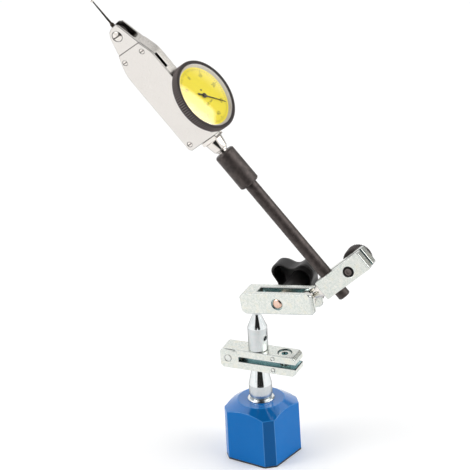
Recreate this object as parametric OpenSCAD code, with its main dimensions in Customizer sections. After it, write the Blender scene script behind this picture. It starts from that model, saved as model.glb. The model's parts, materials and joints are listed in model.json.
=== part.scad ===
// Lever dial test indicator on a small magnetic base with two ball clamps.
// Millimetres, +Z up, origin at the centre of the base's underside.

/* [Magnetic base] */
// Width of the square block
base_w = 30; // [26:1:40]
// Height of the block
base_h = 30; // [26:1:40]
// Leg of the corner chamfers
base_leg = 4.3; // [2:0.1:6]
// Thickness of the bare steel sole
sole_t = 0.8; // [0.6:0.1:2]
// Diameter of the magnet core
magnet_d = 15; // [12:0.5:18]

/* [Fine adjustment bar] */
// Height of the bar's underside above the base top
post_rise = 17.2; // [14:0.2:22]
// Length of the lower bar
bar1_l = 40; // [38:0.5:50]
// Height of the lower bar
bar1_h = 10.3; // [9.5:0.1:12]
// Depth of the lower bar
bar1_d = 10; // [9:0.1:12]
// Height of the slot between bar and lever
slot_h = 2.3; // [2:0.1:3]
// Turn of the lower bar on the base
post_yaw = 12; // [-180:1:180]

/* [Ball post and jaws] */
// Height of the first ball's centre above the fine lever
ball_rise = 27.5; // [25:0.5:34]
// Diameter of the post's barrel
post_d = 9.8; // [8.5:0.1:11]
// Diameter of both balls
ball_d = 8.6; // [8:0.1:9.4]
// Distance between the two balls
ball_gap = 28.5; // [27:0.5:36]
// Height and depth of the clamp bar
bar2_s = 11.1; // [10.6:0.1:13]
// Gap between the two jaws
jaw_gap = 4.7; // [4.4:0.1:5.2]
// Turn of the clamp bar about the post
clamp_yaw = 9; // [-40:1:40]
// Rise of the clamp bar
clamp_pitch = 9; // [-20:1:20]

/* [Clamp knob] */
// Reach of the knob's lobes from its axis
knob_r = 14.5; // [13.5:0.1:16]
// Depth of the lobed part
knob_h = 9.5; // [8:0.5:12]
// Distance from the jaw to the knob's rim
knob_off = 10; // [8:0.5:12]

/* [Rod clamp] */
// Length of the rod clamp block
blk_l = 29.5; // [28:0.5:36]
// Depth of the block
blk_d = 10; // [9:0.1:12]
// Height of the block
blk_h = 10.3; // [9:0.1:12]
// Turn, rise and roll of the block
blk_yaw = 20; // [10:1:24]
// Rise of the block's axis
blk_pitch = 40.5; // [20:0.5:46]
// Roll of the block on its neck
blk_roll = -5.4; // [-10:0.2:10]

/* [Rod] */
// Diameter of the rod
rod_d = 6.35; // [6:0.05:7]
// Rod length between block axis and sleeve
rod_free = 63.2; // [55:0.2:80]
// Diameter of the sleeve
sleeve_d = 10.6; // [10:0.1:12]
// Length of the sleeve
sleeve_l = 20.4; // [16:0.2:26]

/* [Indicator] */
// Turn of the indicator about the rod
dti_twist = -9.3; // [-90:0.1:90]
// Length of the case up to the cover's end
case_l = 57.2; // [56:0.2:66]
// Distance from the cover's end to the stylus pivot
nose_l = 8.4; // [8:0.1:12]
// Thickness of the case
case_t = 7.4; // [7:0.1:9]
// Diameter of the bezel
bezel_d = 37.6; // [36.6:0.1:42]
// Height of the bezel
bezel_h = 4.6; // [4.2:0.1:6]
// Distance from stylus pivot to ball centre
stylus_l = 21.4; // [16:0.2:36]
// Diameter of the stylus ball
tip_d = 2; // [1:0.1:3]

/* [Hidden] */
$fn = 64;
e = 0.01;
// Running clearance on radius
fit = 0.04;
// Levels on the vertical axis
z_bar = base_h + post_rise;
z_lev = z_bar + bar1_h;
z_ball = z_lev + ball_rise;
z_mid = z_bar + bar1_h / 2;
// Places along the lower bar, measured from the post axis
x_left = -18.6;
x_right = x_left + bar1_l;
x_pin = x_left + 4.1;
x_slot = x_left + 9.8;
x_screw = x_right - 7.4;
x_lock = x_screw - 4.7;
// Seam between bar and lever, an arc about the pivot pin
seam_r = x_slot - x_pin + 0.5;
bore_h = 2.6;
// Pose of the rod clamp
ball2 = [0, 0, z_ball] + ball_gap * [cos(clamp_yaw) * cos(clamp_pitch),
    sin(clamp_yaw) * cos(clamp_pitch), sin(clamp_pitch)];
jaw_x0 = -6;
jaw_x1 = ball_gap + 6;
bolt_x = ball_gap / 2;
neck_l = 11.7;
rod_x = neck_l + 6;
thumb_x = neck_l + 18.8;
// Places along the indicator, measured from the sleeve's upper end
sleeve_top = rod_free + sleeve_l;
rear = 10;
case_z = 11.8;
pivot_z = case_z + case_l + nose_l;
pivot_x = -1.9;
face_z = case_z + 16.6;
case_top = 8.8;
crown_x = pivot_x;
crown_r = 6;
sect_r = pivot_z - face_z - 1.5;
seat_w = case_top;
bez_w = case_top + 1.7;
dial_w = bez_w + 2;
// Radii inside the bezel: dial and crystal, seat and its neck
dial_r = bezel_d / 2 - 1.9;
seat_r = dial_r - 0.7;
neck_r = dial_r - 2.3;

// Frames
module at_bar() rotate([0, 0, post_yaw]) children();
module at_clamp() translate([0, 0, z_ball]) rotate([0, 0, clamp_yaw]) rotate([0, -clamp_pitch, 0])
    children();
module at_block() translate(ball2) rotate([0, 0, blk_yaw]) rotate([0, -blk_pitch, 0])
    rotate([blk_roll, 0, 0]) children();
module at_rod() at_block() translate([rod_x, 0, 0]) children();
module at_dti() at_rod() translate([0, 0, sleeve_top]) rotate([0, 0, dti_twist]) children();
module at_face() at_dti() translate([0, 0, face_z]) rotate([0, 90, 0]) children();
module at_pivot() at_dti() translate([pivot_x, 0, pivot_z]) children();
module at_crown() at_dti() translate([crown_x, 0, face_z]) children();

// Helpers
module along_y(y0, y1, r) translate([0, y0, 0]) rotate([-90, 0, 0]) cylinder(h = y1 - y0, r = r);
module square_chamfered(w, leg) polygon([[-w / 2 + leg, -w / 2], [w / 2 - leg, -w / 2],
    [w / 2, -w / 2 + leg], [w / 2, w / 2 - leg], [w / 2 - leg, w / 2], [-w / 2 + leg, w / 2],
    [-w / 2, w / 2 - leg], [-w / 2, -w / 2 + leg]]);
// Bar outline in the XZ plane, extruded over y0 to y1
module bar_xz(x0, x1, z0, z1, c, y0, y1) translate([0, y1, 0]) rotate([90, 0, 0])
    linear_extrude(y1 - y0) polygon([[x0 + c, z0], [x1 - c, z0], [x1, z0 + c], [x1, z1 - c],
        [x1 - c, z1], [x0 + c, z1], [x0, z1 - c], [x0, z0 + c]]);
module knurl(r, n, depth, h) linear_extrude(h) polygon([for (i = [0 : 2 * n - 1])
    (r - (i % 2) * depth) * [cos(180 * i / n), sin(180 * i / n)]]);
function gear_pts(n, r_root, r_tip, w_root, w_tip) = [for (i = [0 : n - 1]) for (k = [0 : 3])
    let (r = (k == 1 || k == 2) ? r_tip : r_root,
        s = k < 2 ? -1 : 1,
        w = (k == 1 || k == 2) ? w_tip : w_root,
        a = 360 * i / n + s * asin(w / 2 / r)) r * [cos(a), sin(a)]];

// Magnetic base
pocket_d = magnet_d + 5;
pocket_h = 15;
// Radius of the coned top where it meets the block's sides
cone_r = base_w / 2 + 3.4;
module base_block() color([0.12, 0.38, 0.68]) difference() {
    intersection() {
        translate([0, 0, sole_t]) linear_extrude(base_h - sole_t)
            square_chamfered(base_w, base_leg);
        union() {
            cylinder(h = base_h - 4, r = base_w);
            translate([0, 0, base_h - 4 - e]) cylinder(h = 4 + e, r1 = cone_r, r2 = cone_r - 6.9);
        }
    }
    translate([0, 0, -1]) cylinder(h = pocket_h + 1, d = pocket_d);
    translate([0, 0, base_h - 9]) cylinder(h = 10, r = 3 + fit);
}
module base_sole() color([0.3, 0.3, 0.31]) difference() {
    linear_extrude(sole_t) square_chamfered(base_w, base_leg);
    translate([0, 0, -1]) cylinder(h = 3, d = pocket_d);
}
module magnet_core() color([0.28, 0.27, 0.27]) translate([0, 0, 4])
    cylinder(h = pocket_h - 4, d = magnet_d);
module centre_pole() color([0.6, 0.6, 0.6]) cylinder(h = 4, d = magnet_d);
module spacer_ring() color([0.72, 0.58, 0.3]) difference() {
    cylinder(h = pocket_h, d = pocket_d);
    translate([0, 0, -1]) cylinder(h = pocket_h + 2, d = magnet_d);
}

// Post and fine adjustment bar
module base_post() color([0.85, 0.85, 0.84]) rotate_extrude() polygon([[0, base_h - 8],
    [3, base_h - 8], [3, base_h + 0.9], [4.6, base_h + 0.9], [5.4, base_h + 2.6],
    [5.75, base_h + 4.6], [5.75, base_h + 8.4], [3.8, z_bar], [2.5, z_bar],
    [2.5, z_bar + 3], [0, z_bar + 3]]);
module foot_ring() color([0.9, 0.9, 0.88]) translate([0, 0, base_h]) rotate_extrude()
    polygon([[3, 0], [6.65, 0], [6.65, 0.45], [6.2, 0.9], [3, 0.9]]);
// Upper half of the bar beyond the seam
module beyond_seam(gap) difference() {
    translate([x_pin, -20, z_mid + slot_h / 2]) cube([60, 40, 30]);
    translate([x_pin, 0, z_mid]) along_y(-30, 30, seam_r + gap);
}
module lower_bar() color([0.8, 0.8, 0.78]) at_bar() difference() {
    bar_xz(x_left, x_right, z_bar, z_lev, 1.5, -bar1_d / 2, bar1_d / 2);
    translate([x_slot, -20, z_mid - slot_h / 2]) cube([60, 40, slot_h + e]);
    beyond_seam(0);
    // Pocket of the lever's tongue
    translate([x_pin - 3.3, -2.5, z_mid - slot_h / 2 - 2.2])
        cube([x_slot - x_pin + 4, 5, bar1_h / 2 + slot_h / 2 + 1.2]);
    translate([x_pin, 0, z_mid]) along_y(-20, 20, 1.7);
    translate([x_lock, 0, z_mid - lock_rise]) along_y(-20, 20, lock_r);
    translate([x_screw, 0, z_bar - 1]) cylinder(h = 20, r = 2.3);
    translate([0, 0, z_bar - 1]) cylinder(h = 4, r = 2.5);
}
module pivot_pin() color([0.7, 0.7, 0.7]) at_bar() translate([x_pin, 0, z_mid])
    along_y(-bar1_d / 2, bar1_d / 2, 1.7);
// Two small cross pins, one in each half
lock_r = 0.9;
lock_rise = 3.1;
module lower_pin() color([0.72, 0.72, 0.71]) at_bar() translate([x_lock, 0, z_mid - lock_rise])
    along_y(-bar1_d / 2, bar1_d / 2, lock_r);
module upper_pin() color([0.72, 0.72, 0.71]) at_bar() translate([x_lock, 0, z_mid + lock_rise])
    along_y(-bar1_d / 2, bar1_d / 2, lock_r);
module fine_lever() color([0.82, 0.82, 0.8]) at_bar() difference() {
    union() {
        intersection() {
            bar_xz(x_left, x_right, z_bar, z_lev, 1.5, -bar1_d / 2, bar1_d / 2);
            beyond_seam(2 * fit);
        }
        translate([x_pin, -2.3, z_mid + 0.4]) cube([x_slot - x_pin + 2, 4.6, bar1_h / 2 - 1.9]);
        translate([x_pin, 0, z_mid]) along_y(-2.3, 2.3, 2.9);
    }
    translate([x_pin, 0, z_mid]) along_y(-20, 20, 1.7 + fit);
    translate([x_lock, 0, z_mid + lock_rise]) along_y(-20, 20, lock_r);
    translate([x_screw, 0, z_mid]) cylinder(h = 20, r = 2.1);
    translate([x_screw, 0, z_lev - bore_h]) cylinder(h = 20, r = 3.5);
    translate([0, 0, z_lev - 3]) cylinder(h = 4, r = 2.5 + fit);
}
module fine_screw() color([0.7, 0.7, 0.69]) at_bar() translate([x_screw, 0, z_lev - bore_h])
    difference() {
        union() {
            cylinder(h = 2, r = 3.3);
            translate([0, 0, z_bar + 0.6 - z_lev + bore_h])
                cylinder(h = z_lev - bore_h - z_bar - 0.5, r = 2);
        }
        translate([0, 0, 0.7]) cylinder(h = 5, r = 1.73, $fn = 6);
    }

// Ball post and jaws
module ball_post() color([0.86, 0.86, 0.85]) difference() {
    union() {
        rotate_extrude() polygon([[0, z_lev - 2.8], [2.5, z_lev - 2.8], [2.5, z_lev],
            [post_d / 2 - 0.3, z_lev], [post_d / 2, z_lev + 0.4], [post_d / 2, z_lev + 12.4],
            [2, z_lev + 19.4], [1.95, z_ball - 2], [0, z_ball - 2]]);
        translate([0, 0, z_ball]) sphere(d = ball_d);
    }
    rotate([0, 0, -5]) translate([-10, 0, z_lev + 7]) rotate([0, 90, 0]) cylinder(h = 20, r = 1.2);
}
// One bar, split from its right end to the first ball, with sockets for both balls
module clamp_bar() color([0.82, 0.82, 0.8]) at_clamp() difference() {
    bar_xz(jaw_x0, jaw_x1, -bar2_s / 2, bar2_s / 2, 1.8, -bar2_s / 2, bar2_s / 2);
    sphere(r = ball_d / 2 + fit);
    translate([ball_gap, 0, 0]) sphere(r = ball_d / 2 + fit);
    translate([3, -jaw_gap / 2, -20]) cube([80, jaw_gap, 40]);
    translate([-4.4, -jaw_gap / 2, -20]) cube([20, jaw_gap, 20]);
    translate([bolt_x, 0, 0]) along_y(-20, 0, 2.7 + fit);
    translate([bolt_x, 0, 0]) along_y(-20, -bar2_s / 2 + 0.7, 3.1);
    translate([bolt_x, 0, 0]) along_y(0, 20, 2.9);
    for (s = [-1, 1]) {
        // Flared mouth for the second neck
        linear_extrude(40, center = true) polygon([[jaw_x1 - 5, 0], [jaw_x1 - 5, s * jaw_gap / 2],
            [jaw_x1 + 0.1, s * (jaw_gap / 2 + 1.95)], [jaw_x1 + 0.1, 0]]);
        // Broken outer corner in plan
        linear_extrude(40, center = true) polygon([[jaw_x1 - 1.6, s * (bar2_s / 2 + 0.1)],
            [jaw_x1 + 0.1, s * (bar2_s / 2 - 1.2)], [jaw_x1 + 0.1, s * (bar2_s / 2 + 0.1)]]);
    }
}
module knob_washer() color([0.6, 0.6, 0.6]) at_clamp() translate([bolt_x, 0, 0]) difference() {
    along_y(bar2_s / 2, bar2_s / 2 + 0.8, 5);
    along_y(0, 20, 2.9);
}
module clamp_bolt() color([0.8, 0.55, 0.44]) at_clamp() translate([bolt_x, 0, 0])
    along_y(-bar2_s / 2 + 0.3, bar2_s / 2 + knob_off + 5, 2.7);
module knob_2d(inset) difference() {
    union() {
        square(2 * (knob_r - 4.5 - inset), center = true);
        for (a = [45 : 90 : 315]) rotate(a) translate([knob_r - 5.4, 0]) circle(r = 5.4 - inset);
    }
    for (a = [0 : 90 : 270]) rotate(a) translate([knob_r + 1.8, 0]) circle(r = 7 + inset);
}
module clamp_knob() color([0.08, 0.08, 0.08]) at_clamp() translate([bolt_x, bar2_s / 2 + 0.8 + e, 0])
    rotate([-90, 0, 0]) difference() {
        union() {
            intersection() {
                difference() {
                    translate([0, 0, knob_off - 0.8]) linear_extrude(knob_h) knob_2d(0);
                    translate([0, 0, knob_off - 1.8]) linear_extrude(knob_h - 1) knob_2d(1.4);
                }
                // Rounded back
                translate([0, 0, knob_off - 0.8]) rotate_extrude() polygon([[0, -1], [knob_r + 1, -1],
                    [knob_r + 1, knob_h - 3.5], [knob_r - 1.4, knob_h - 0.9], [knob_r - 3.6, knob_h],
                    [0, knob_h]]);
            }
            cylinder(h = knob_off + knob_h - 2, r = 4.6);
        }
        translate([0, 0, -1]) cylinder(h = knob_off + 5.2, r = 2.7);
    }

// Ball stud, rod clamp and thumb screw
module ball_stud() color([0.84, 0.84, 0.83]) at_block() {
    rotate([0, 90, 0]) union() {
        sphere(d = ball_d);
        rotate_extrude() polygon([[0, 2], [1.9, 2], [1.9, 5.2], [4.3, neck_l - 0.1],
            [2.4, neck_l - 0.1], [2.4, neck_l + 2.2], [0, neck_l + 2.2]]);
    }
}
module rod_clamp() color([0.8, 0.8, 0.78]) at_block() difference() {
    bar_xz(neck_l, neck_l + blk_l, -blk_h / 2, blk_h / 2, 0.5, -blk_d / 2, blk_d / 2);
    translate([neck_l - 1, 0, 0]) rotate([0, 90, 0]) cylinder(h = 3.4, r = 2.4 + fit);
    translate([rod_x, 0, -20]) cylinder(h = 40, r = rod_d / 2 + fit);
    translate([rod_x, -0.7, -20]) cube([60, 1.4, 40]);
    translate([thumb_x, 0, 0]) along_y(-20, 20, 2.65 + fit);
}
module thumb_screw() color([0.12, 0.11, 0.11]) at_block() translate([thumb_x, 0, 0])
    along_y(-blk_d / 2 - 0.2, blk_d / 2 + 8, 2.65);
module thumb_knob() color([0.14, 0.13, 0.12]) at_block() translate([thumb_x, blk_d / 2 + 0.05, 0])
    rotate([-90, 0, 0]) difference() {
        union() {
            cylinder(h = 3, r = 4.5);
            translate([0, 0, 2.5]) knurl(6.8, 48, 0.3, 7);
        }
        translate([0, 0, -1]) cylinder(h = 8.95, r = 2.65);
    }

// Rod and sleeve
module rod() color([0.2, 0.18, 0.17]) at_rod() rotate_extrude() polygon([[0, -9.5],
    [rod_d / 2 - 0.6, -9.5], [rod_d / 2, -8.9], [rod_d / 2, rod_free + 8], [0, rod_free + 8]]);
module sleeve() color([0.2, 0.18, 0.17]) at_rod() rotate_extrude() polygon([
    [rod_d / 2, rod_free], [sleeve_d / 2 - 0.7, rod_free], [sleeve_d / 2, rod_free + 0.7],
    [sleeve_d / 2, sleeve_top - 0.7], [sleeve_d / 2 - 0.7, sleeve_top], [2.5 + fit, sleeve_top],
    [2.5 + fit, rod_free + 8.4], [rod_d / 2, rod_free + 8.4]]);

// Indicator stem and clamp
module stem() color([0.88, 0.86, 0.83]) at_dti() rotate_extrude() polygon([[0, -9], [2.5, -9],
    [2.5, 1], [3.2, 1.3], [3.2, 1.9], [3.8, 2.2], [4.8, rear - 2.3], [2, rear - 2.3],
    [2, rear - 1.4], [0, rear - 1.4]]);
module dovetail(y0, y1, z0, z1, x0, x1) translate([x0, 0, 0]) rotate([90, 0, 90])
    linear_extrude(x1 - x0) polygon([[-y0, z0], [y0, z0], [y1, z1], [-y1, z1]]);
module dovetail_clamp() color([0.85, 0.84, 0.82]) at_dti() difference() {
    translate([-4.7, -3.6, rear - 2.3]) cube([9.4, 7.2, 2.1]);
    dovetail(2.9, 2.2, rear - 1.4, rear, -9, 9);
    translate([0, 0, rear - 3]) cylinder(h = 2, r = 2);
}

// Indicator case; outline points run along the case (u) and across it (n)
function zx(p) = [for (q = p) [q[1], case_z + q[0]]];
under_pts = [[-0.6, -12.9], [case_l - 13.2, -12.9], [case_l - 9.2, -12.4], [case_l - 5.2, -11.1],
    [case_l, -8.9]];
upper_pts = [[case_l, 6.1], [case_l - 4.2, 7.6], [case_l - 7.2, 8.5], [case_l - 9.7, case_top],
    [-1.8, case_top], [-1.8, -11.7]];
nose_u = case_l + nose_l;
nose_pts = [[nose_u + 1.4, -5.9], [nose_u + 3.8, -4.3], [nose_u + 5, -1.6], [nose_u + 5.2, 1],
    [nose_u + 4.3, 2.6], [nose_u + 1.9, 3.4]];
case_pts = zx(concat(under_pts, nose_pts, upper_pts));
cover_pts = zx(concat(under_pts, upper_pts));
cavity_pts = zx([[0.4, -11.2], [case_l - 13.2, -11.2], [case_l - 9.2, -10.6], [case_l - 1.8, -7.6],
    [case_l - 1.8, 4.8], [case_l - 5.2, 5.9], [case_l - 9.7, 7], [0.4, 7]]);
// Extrudes an outline drawn as [n, u] over the thickness t0 to t1
module slab(pts, t0, t1) translate([0, t1, 0]) rotate([90, 0, 0]) linear_extrude(t1 - t0)
    polygon(pts);
half_t = case_t / 2;
cov_t = 1;
screw_at = [[case_l - 4.5, 4.3], [case_l - 4.5, -8.4], [1.4, -10.2], [1.4, 6]];
// Fork slot: half width, depth behind the pivot and corner radius
fork_y = 2.1;
fork_z = 5.6;
fork_r = 1.2;
function fork_corner(side, a0) = [for (a = [a0 : 15 : a0 + 90])
    [side * (fork_y - fork_r) + fork_r * cos(a), fork_r - fork_z - fork_r * sin(a)]];
// Side notch of the upper dovetail rail
module dovetail_groove() translate([case_top - 1.5, -half_t + cov_t, case_z + case_l - 17.7])
    cube([5, 1.9, 8.4]);
module case() color([0.84, 0.84, 0.83]) at_dti() difference() {
    union() {
        difference() {
            slab(case_pts, -half_t, half_t);
            slab(cover_pts, -half_t - 1, -half_t + cov_t);
            // Thinner nose
            for (s = [-1, 1]) translate([-20, s * (half_t + 9.5) - 10, case_z + case_l])
                cube([40, 20, 40]);
            slab(cavity_pts, -half_t, half_t - cov_t);
        }
        for (p = screw_at) translate([p[1], 0, case_z + p[0]])
            along_y(-half_t + cov_t, half_t - cov_t + e, 1.7);
        dovetail(2.8, 2.15, rear - 1.35, rear + e, -4.6, 4.6);
    }
    // Fork slot and channel for the lever
    translate([-20, 0, pivot_z]) rotate([90, 0, 90]) linear_extrude(40) polygon(concat(
        [[fork_y, 30]], fork_corner(1, 0), fork_corner(-1, 90), [[-fork_y, 30]]));
    translate([pivot_x - 3.2, -fork_y, case_z + case_l - 3.2]) cube([6.2, 2 * fork_y, 10]);
    translate([pivot_x, 0, pivot_z]) along_y(-20, 20, 1.5);
    for (s = [-1, 1]) translate([pivot_x, 0, pivot_z])
        along_y(s < 0 ? -half_t : half_t - 1.1, s < 0 ? -half_t + 1.1 : half_t, 2.75);
    for (p = screw_at) translate([p[1], 0, case_z + p[0]]) along_y(-half_t, half_t - 1.6, 0.7);
    dovetail_groove();
    // Bearings of the arbors
    translate([0, 0, face_z]) rotate([0, 90, 0]) cylinder(h = 40, r = 0.5 + fit);
    translate([crown_x, 0, face_z]) along_y(0, half_t - 0.4, 0.4 + fit);
}
module cover() color([0.85, 0.85, 0.84]) at_dti() difference() {
    slab(cover_pts, -half_t, -half_t + cov_t);
    for (p = screw_at) translate([p[1], -half_t, case_z + p[0]]) rotate([-90, 0, 0])
        rotate_extrude() polygon([[0, -1], [1.3, -1], [1.3, 0.15], [0.7, 0.75], [0.7, 2], [0, 2]]);
    translate([crown_x, 0, face_z]) along_y(-half_t + 0.4, 0, 0.4 + fit);
}
module cover_screws() color([0.75, 0.75, 0.75]) at_dti() for (p = screw_at)
    translate([p[1], -half_t, case_z + p[0]]) rotate([-90, 0, 0]) difference() {
        rotate_extrude() polygon([[0, 0.05], [1.3, 0.05], [1.3, 0.15], [0.7, 0.75], [0.7, 5],
            [0, 5]]);
        translate([-2, -0.18, -1]) cube([4, 0.36, 1.4]);
    }
module pivot_screw() difference() {
    rotate([-90, 0, 0]) rotate_extrude() polygon([[0, -half_t + 0.35], [2.55, -half_t + 0.35],
        [2.75, -half_t + 0.55], [2.75, -half_t + 1.1], [1.5, -half_t + 1.1], [1.5, -2.1],
        [0.9, -2.1], [0.9, -0.05], [0, -0.05]]);
    translate([-4, -half_t - 1, -0.25]) cube([8, 1.75, 0.5]);
}
module pivot_screws() color([0.86, 0.83, 0.8]) at_pivot() {
    pivot_screw();
    mirror([0, 1, 0]) pivot_screw();
}
module dial_seat() color([0.8, 0.8, 0.79]) at_face() rotate_extrude() polygon([[0.56, seat_w],
    [neck_r, seat_w], [neck_r, bez_w + 1], [seat_r, bez_w + 1], [seat_r, dial_w - 0.1],
    [0.56, dial_w - 0.1]]);
module arbor_cock() color([0.75, 0.62, 0.35]) at_dti() difference() {
    translate([0.1, -0.9, face_z - 1.1]) cube([1.5, half_t - cov_t + 0.9, 2.1]);
    translate([0, 0, face_z]) rotate([0, 90, 0]) cylinder(h = 4, r = 0.4 + fit);
}
function spiral(r0, r1, turns, n) = [for (i = [0 : n])
    let (a = 360 * turns * i / n) (r0 + (r1 - r0) * i / n) * [cos(a), sin(a)]];
function rev(v) = [for (i = [len(v) - 1 : -1 : 0]) v[i]];
module hairspring() color([0.5, 0.45, 0.4]) at_face() translate([0, 0, 4.85]) linear_extrude(0.4)
    polygon(concat(spiral(1.1, 2.3, 3.25, 78), [[-0.06, half_t - cov_t], [0.08, half_t - cov_t]],
        rev(spiral(1.22, 2.42, 3.25, 78))));

// Bezel and dial
module bezel() color([0.09, 0.09, 0.09]) at_face() difference() {
    union() {
        translate([0, 0, bez_w + 0.5]) knurl(bezel_d / 2, 110, 0.22, bezel_h - 1.2);
        translate([0, 0, bez_w]) cylinder(h = bezel_h, r1 = bezel_d / 2 - 0.4, r2 = bezel_d / 2 - 0.4);
    }
    translate([0, 0, bez_w - 1]) cylinder(h = 9, r = neck_r + fit);
    translate([0, 0, bez_w + 0.9]) cylinder(h = 9, r = seat_r + fit);
    translate([0, 0, dial_w]) cylinder(h = 9, r = dial_r);
}
module dial() color([0.96, 0.86, 0.2]) at_face() difference() {
    translate([0, 0, dial_w]) cylinder(h = 0.4, r = dial_r);
    translate([0, 0, dial_w - 1]) cylinder(h = 3, r = 1.2);
}
module dial_ring() color([0.75, 0.75, 0.73]) at_face() rotate_extrude() polygon([
    [dial_r - 1.3, dial_w + 0.4], [dial_r, dial_w + 0.4], [dial_r, dial_w + 1.7],
    [dial_r - 0.5, dial_w + 1.7]]);
// Dome that falls by sag from its centre to its rim
function dome(r, z, sag) = [for (i = [0 : 12]) [r * i / 12, z - sag * pow(i / 12, 2)]];
module crystal() color([0.9, 0.93, 0.95, 0.35]) at_face() rotate_extrude() polygon(concat(
    dome(dial_r, dial_w + 3.2, 0.94), rev(dome(dial_r, dial_w + 2.4, 0.69))));

// Movement
module lever() color([0.7, 0.68, 0.62]) at_pivot() difference() {
    union() {
        along_y(1.2, 2, 2.9);
        translate([0, 2, 0]) rotate([90, 0, 0]) linear_extrude(0.8) polygon([[-2.2, -1], [2.2, -1],
            [1.2, -14], [1.1, 9.5 - sect_r], [2.6, 4.5 - sect_r], [2.6, 0.45 - sect_r],
            [-2.6, 0.45 - sect_r], [-2.6, 4.5 - sect_r], [-1.1, 9.5 - sect_r], [-1.2, -14]]);
        for (i = [-3 : 3]) rotate([0, i * 0.25 * 180 / sect_r, 0]) translate([0, 2, 0])
            rotate([90, 0, 0]) linear_extrude(0.8) polygon([[-0.2, -sect_r + 0.6],
                [0.2, -sect_r + 0.6], [0.2, -sect_r + 0.3], [0.09, -sect_r - 0.2],
                [-0.09, -sect_r - 0.2], [-0.2, -sect_r + 0.3]]);
    }
    along_y(0, 5, 0.9 + fit);
}
module stylus_hub() color([0.25, 0.25, 0.25]) at_pivot() difference() {
    along_y(-2, 1.1, 4.3);
    along_y(-5, 5, 0.9 + fit);
    translate([0, 0, 1.4]) cylinder(h = 5, r = 0.6);
}
module stylus_stem() color([0.85, 0.84, 0.82]) at_pivot() rotate_extrude() polygon([[0, 1.5],
    [0.6, 1.5], [0.6, 4.4], [1.05, 4.5], [1.05, 6.2], [0.55, 7], [0.3, stylus_l - tip_d / 2 + 0.1],
    [0, stylus_l - tip_d / 2 + 0.1]]);
module stylus_ball() color([0.8, 0.8, 0.8]) at_pivot() difference() {
    translate([0, 0, stylus_l]) sphere(d = tip_d, $fn = 32);
    cylinder(h = stylus_l - tip_d / 2 + 0.1, r = 0.3);
}
module crown_arbor() color([0.7, 0.68, 0.62]) at_crown() union() {
    along_y(-half_t + 0.5, half_t - 0.5, 0.4);
    along_y(-2.35, 2.4, 0.6);
    translate([0, 2.2, 0]) rotate([90, 0, 0]) linear_extrude(1.2) rotate(90 + 15)
        polygon(gear_pts(12, 1.2, 1.68, 0.44, 0.2));
}
module crown_wheel() color([0.75, 0.62, 0.35]) at_crown() difference() {
    translate([0, -1.3, 0]) rotate([90, 0, 0]) union() {
        cylinder(h = 1, r = crown_r + 0.4);
        for (i = [0 : 59]) rotate(6 * i + 3) translate([crown_r - 0.4, -0.11, -0.46])
            cube([0.75, 0.22, 0.5]);
    }
    along_y(-5, 5, 0.6);
}
module centre_arbor() color([0.7, 0.68, 0.62]) at_face() union() {
    translate([0, 0, 0.2]) cylinder(h = 3, r = 0.4);
    translate([0, 0, 1.65]) cylinder(h = dial_w - 0.65, r = 0.5);
    translate([0, 0, crown_r + crown_x - 0.4]) linear_extrude(0.8) rotate(-90)
        polygon(gear_pts(10, 0.74, 1.14, 0.3, 0.16));
    translate([0, 0, 4.75]) cylinder(h = 0.6, r = 1.1 - fit);
}
module pointer() color([0.12, 0.1, 0.08]) at_face() difference() {
    translate([0, 0, dial_w + 0.75]) union() {
        cylinder(h = 0.5, r = 1.35);
        linear_extrude(0.2) rotate(45) polygon([[-4.2, -0.55], [-4.2, 0.55], [-2.6, 0.3], [0, 0.55],
            [dial_r - 3.1, 0.14], [dial_r - 3.1, -0.14], [0, -0.55], [-2.6, -0.3]]);
    }
    cylinder(h = dial_w + 1, r = 0.5);
}

base_block();
base_sole();
magnet_core();
centre_pole();
spacer_ring();
base_post();
foot_ring();
lower_bar();
pivot_pin();
lower_pin();
upper_pin();
fine_lever();
fine_screw();
ball_post();
clamp_bar();
knob_washer();
clamp_bolt();
clamp_knob();
ball_stud();
rod_clamp();
thumb_screw();
thumb_knob();
rod();
sleeve();
stem();
dovetail_clamp();
case();
cover();
cover_screws();
pivot_screws();
dial_seat();
arbor_cock();
hairspring();
bezel();
dial();
dial_ring();
crystal();
lever();
stylus_hub();
stylus_stem();
stylus_ball();
crown_arbor();
crown_wheel();
centre_arbor();
pointer();
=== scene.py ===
"""Looks of a lever dial test indicator on a small magnetic base.

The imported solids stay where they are. Machined pieces get softened copies with real edge breaks,
turned pieces are revolved from smooth profiles, and the dial gets its marks.
Local sizes are in millimetres; everything handed to the frame is in metres.
"""
import json
import logging
import math
from dataclasses import dataclass, replace
from enum import Enum
from functools import cache

import bmesh
import bpy
import numpy as np
from bpy.types import Material, Mesh, Node, NodeSocket, NodeTree, Object
from mathutils import Matrix, Vector

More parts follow.
